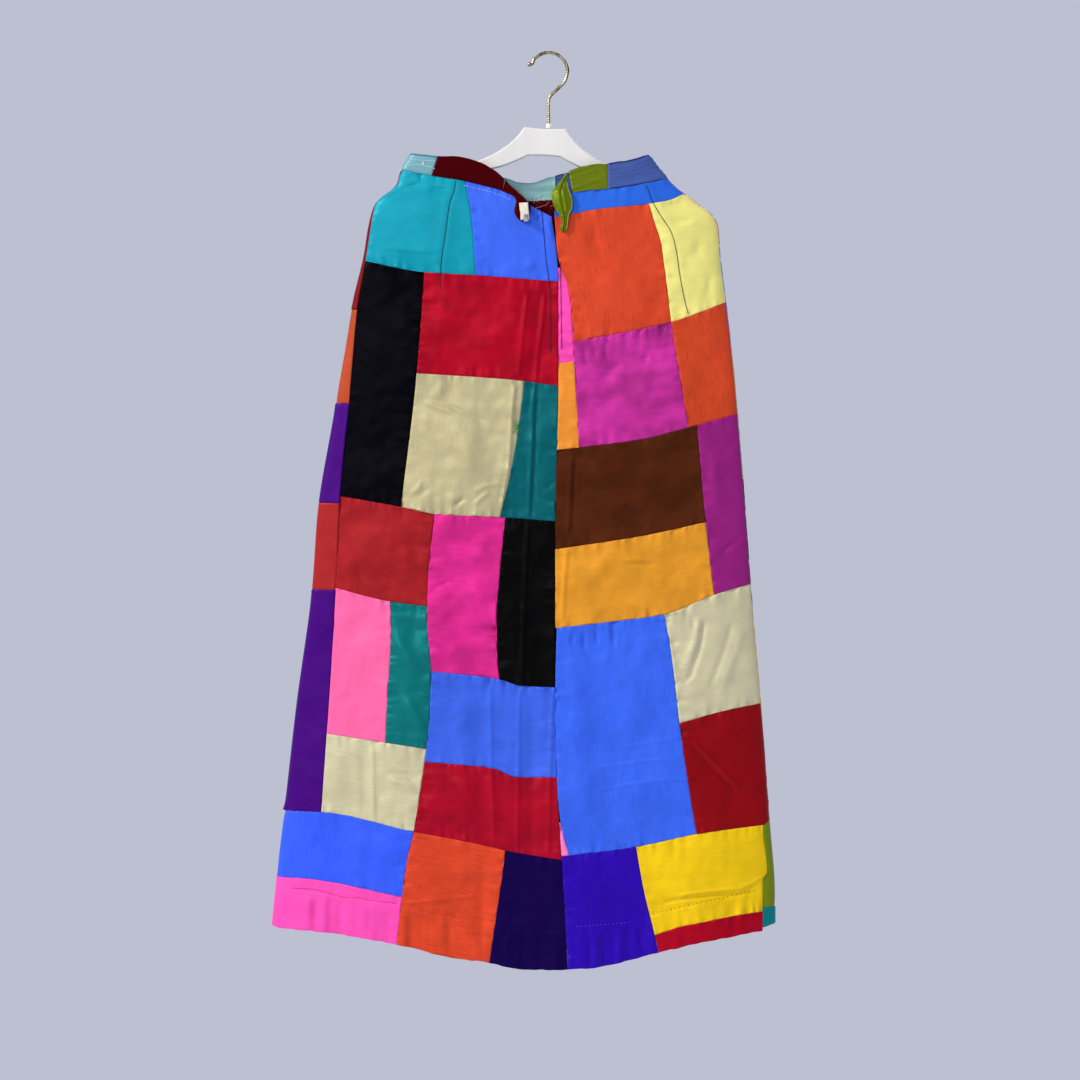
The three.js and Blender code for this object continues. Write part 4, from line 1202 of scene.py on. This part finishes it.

# The folded rim along the top of the band's two outer pieces, and the slate piece's seam, drawn as darker
# lines of the band's colour: painted shade of the fold and the seam.
# Per line: slot, colour, radius, the seam that it follows, how far above it, and where it runs
SHADE_RIMS = {
    "rim_aqua": ("silk_aqua", 0x3F7884, 0.7, "band_top_left", -1.6, range(-172, -138, 3)),
    "rim_slate": ("silk_slate", 0x1E2A52, 0.6, "band_top_right", -1.2, range(76, 122, 4)),
    "seam_slate": ("silk_slate", 0x1E2A52, 0.45, "waist_right", 0.6, range(77, 147, 5)),
}
for name, (slot, colour, radius, seam, above, run) in SHADE_RIMS.items():
    points = [(x, level(seam, x) + above) for x in run]
    tubes(name, [on_back(points, 0.1)], radius, plain_cloth(name, colour))
olive_edge = loose_edges["band_olive_end"][1][18:-8] - np.array([0.6, 0.9, 0])
tubes("olive_rim", [olive_edge], 0.5, plain_cloth("olive_rim", 0x9BA54A))


# Frayed threads
def strands(name, count, colour, corner, size, length, lift):
    """Loose ends of thread that curl over a small place."""
    rng = np.random.default_rng(seed(name))
    lines = []
    for _ in range(count):
        x, z = corner[0] + rng.uniform(0, size[0]), corner[1] - rng.uniform(0, size[1])
        heading = rng.uniform(0, 2 * math.pi)
        points = [(x, z)]
        for _ in range(5):
            heading += rng.uniform(-0.8, 0.8)
            x, z = x + math.cos(heading) * length / 5, z + math.sin(heading) * length / 5
            points.append((x, z))
        base = on_back(flat_path(points, 4), lift)
        base[:, 1] -= rng.uniform(0, 1.2) + 0.6 * np.sin(np.linspace(0, math.pi, len(base)))
        lines.append(base)
    tubes(name, lines, 0.24, plain_cloth(name, colour), 5)


strands("threads_beige", 6, 0x9A8C7C, (-18, -184), (22, 12), 8, 0.6)
strands("threads_red", 16, 0x6A1020, (-22, -184), (26, 14), 8, 0.8)
strands("threads_green", 14, 0x1F9E5A, (-42, -463), (5, 7), 8, 0.3)
tail = on_back(flat_path([(-37, -466), (-36, -476), (-39, -488), (-40, -497)], 6), 0.4)
tubes("thread_tail", [tail], 0.28, plain_cloth("thread_tail", 0x1F9E5A), 5)

# The hanger's plate and arms, half of the outline, from the top of the plate to the foot
HANGER_THICK = 11.0
HANGER_TILT = math.radians(2.2)
HANGER_HALF = [
    (0, -94.2), (26, -92.6), (36, -106), (53, -121), (80, -136), (135, -154), (178, -173), (195, -186),
    (203, -194), (205, -201), (200, -208), (190, -204), (160, -187), (110, -166), (72, -149), (50, -142),
    (34, -135), (20, -128), (0, -127),
]
HANGER_CORNERS = {26, 20}  # distance of the outline's sharp corners from its middle


def hanger_body():
    bevel = 2.0
    outline = [(-x, z) for x, z in reversed(HANGER_HALF[1:])] + HANGER_HALF[:-1]
    curve = bpy.data.curves.new("hanger_outline", "CURVE")
    curve.dimensions = "2D"
    curve.fill_mode = "BOTH"
    spline = curve.splines.new("BEZIER")
    spline.bezier_points.add(len(outline) - 1)
    for point, (x, z) in zip(spline.bezier_points, outline):
        point.co = (x * MM, z * MM, 0)
        point.handle_left_type = point.handle_right_type = "VECTOR" if abs(x) in HANGER_CORNERS else "AUTO"
    spline.use_cyclic_u = True
    spline.resolution_u = 8
    curve.extrude = (HANGER_THICK / 2 - bevel) * MM
    curve.bevel_depth = bevel * MM
    curve.bevel_resolution = 4
    curve.offset = -bevel * MM
    maker = bpy.data.objects.new("hanger_maker", curve)
    bpy.context.scene.collection.objects.link(maker)
    bpy.context.view_layer.update()
    mesh = bpy.data.meshes.new_from_object(maker.evaluated_get(bpy.context.evaluated_depsgraph_get()))
    bpy.data.objects.remove(maker)
    mesh.transform(Matrix.Rotation(HANGER_TILT, 4, "Y") @ Matrix.Rotation(math.pi / 2, 4, "X"))
    mesh.materials.clear()
    mesh.shade_smooth()
    piece = add_object("hanger_plate", mesh, plastic("hanger", 0xE1E0DD))
    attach(piece, "root")
    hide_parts("hanger_body")


def hanger_hook():
    """The wire, with its ribbed shank and the small ball that ends it."""
    wire, steps, rib_pitch = 2.2, 24, 2.5
    knee = [(1, -86.6), (1, -72), (1, -58), (3.6, -51.6), (12, -43.5), (21, -34)]
    angles = [math.radians(degrees) for degrees in range(0, 141, 20)]
    bend = [(1 + 23.6 * math.cos(angle), -21.4 + 23.6 * math.sin(angle)) for angle in angles]
    path = smooth_path([(x, 0, z) for x, z in [*knee, *bend, (-20, -12), (-25.4, -12.6)]], steps)
    run = np.concatenate([[0], np.cumsum(np.linalg.norm(np.diff(path, axis=0), axis=1))])
    ribbed = np.where(path[:, 2] < -54, 0.3, 0) + 0.1 * ((path[:, 2] > -40) & (path[:, 0] > 12))
    radii = wire - ribbed * (1 - np.cos(run * 2 * math.pi / rib_pitch)) / 2
    end = run[-1] - run
    radii = np.where(end < 4.5, wire + 0.9 * np.exp(-(((end - 2.0) / 1.6) ** 2)), radii)
    radii[-1] = 1.4
    piece = tubes("hook_wire", [path], radii, metal("wire", 0xB5AA8C, 0x5A5238, 0.24), 20)
    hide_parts("hanger_hook")


hanger_body()
hanger_hook()

for node, look in (
    ("hanger_ferrule", plastic("ferrule", 0xF0F0EE)),
    ("band_hook", metal("band_hook", 0xD8D6D0, 0x8A8880, 0.2)),
):
    for material_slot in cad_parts[node].material_slots:
        material_slot.material = look

# Floor, world and lights
FLOOR_Z, FLOOR_SIZE = -1.62, 2.2
floor_mesh = bpy.data.meshes.new("floor")
corners = [(x * FLOOR_SIZE, y * FLOOR_SIZE, FLOOR_Z) for x, y in ((-1, -1), (1, -1), (1, 1), (-1, 1))]
floor_mesh.from_pydata(corners, [], [(0, 1, 2, 3)])
floor_material, floor_tree, floor_shader = new_material("look_floor")
speckle = noise(floor_tree, add_node(floor_tree, "TexCoord").outputs["Object"], (3, 3), 3.0)
floor_colour = mix_colour(floor_tree, speckle, opaque(linear(0xD6D8DE)), opaque(linear(0xE2E3E7)))
floor_tree.links.new(floor_colour, floor_shader.inputs["Base Color"])
floor_shader.inputs["Roughness"].default_value = 0.8
add_object("floor", floor_mesh, floor_material)

world = bpy.data.worlds.new("studio")
world.use_nodes = True
background = world.node_tree.nodes["Background"]
background.inputs["Color"].default_value = opaque(linear(0xBCC0D1))
background.inputs["Strength"].default_value = 1.0
bpy.context.scene.world = world
bpy.context.scene.view_settings.view_transform = "Standard"


def area_light(name, place, size, watts, colour):
    data = bpy.data.lights.new(name, "AREA")
    data.shape = "DISK"
    data.size = size
    data.energy = watts
    data.color = colour
    lamp = bpy.data.objects.new(name, data)
    lamp.location = place
    lamp.rotation_euler = (Vector((0, 0, -0.6)) - Vector(place)).to_track_quat("-Z", "Y").to_euler()
    bpy.context.scene.collection.objects.link(lamp)


area_light("key", (-3.7, -2.3, 2.3), 0.8, 196, (1.0, 0.94, 0.8))
area_light("glow", (-1.2, -3.4, 0.5), 0.5, 26, (1.0, 0.96, 0.86))
area_light("far_side", (0.4, 2.6, 0.6), 1.8, 40, (1.0, 0.97, 0.92))
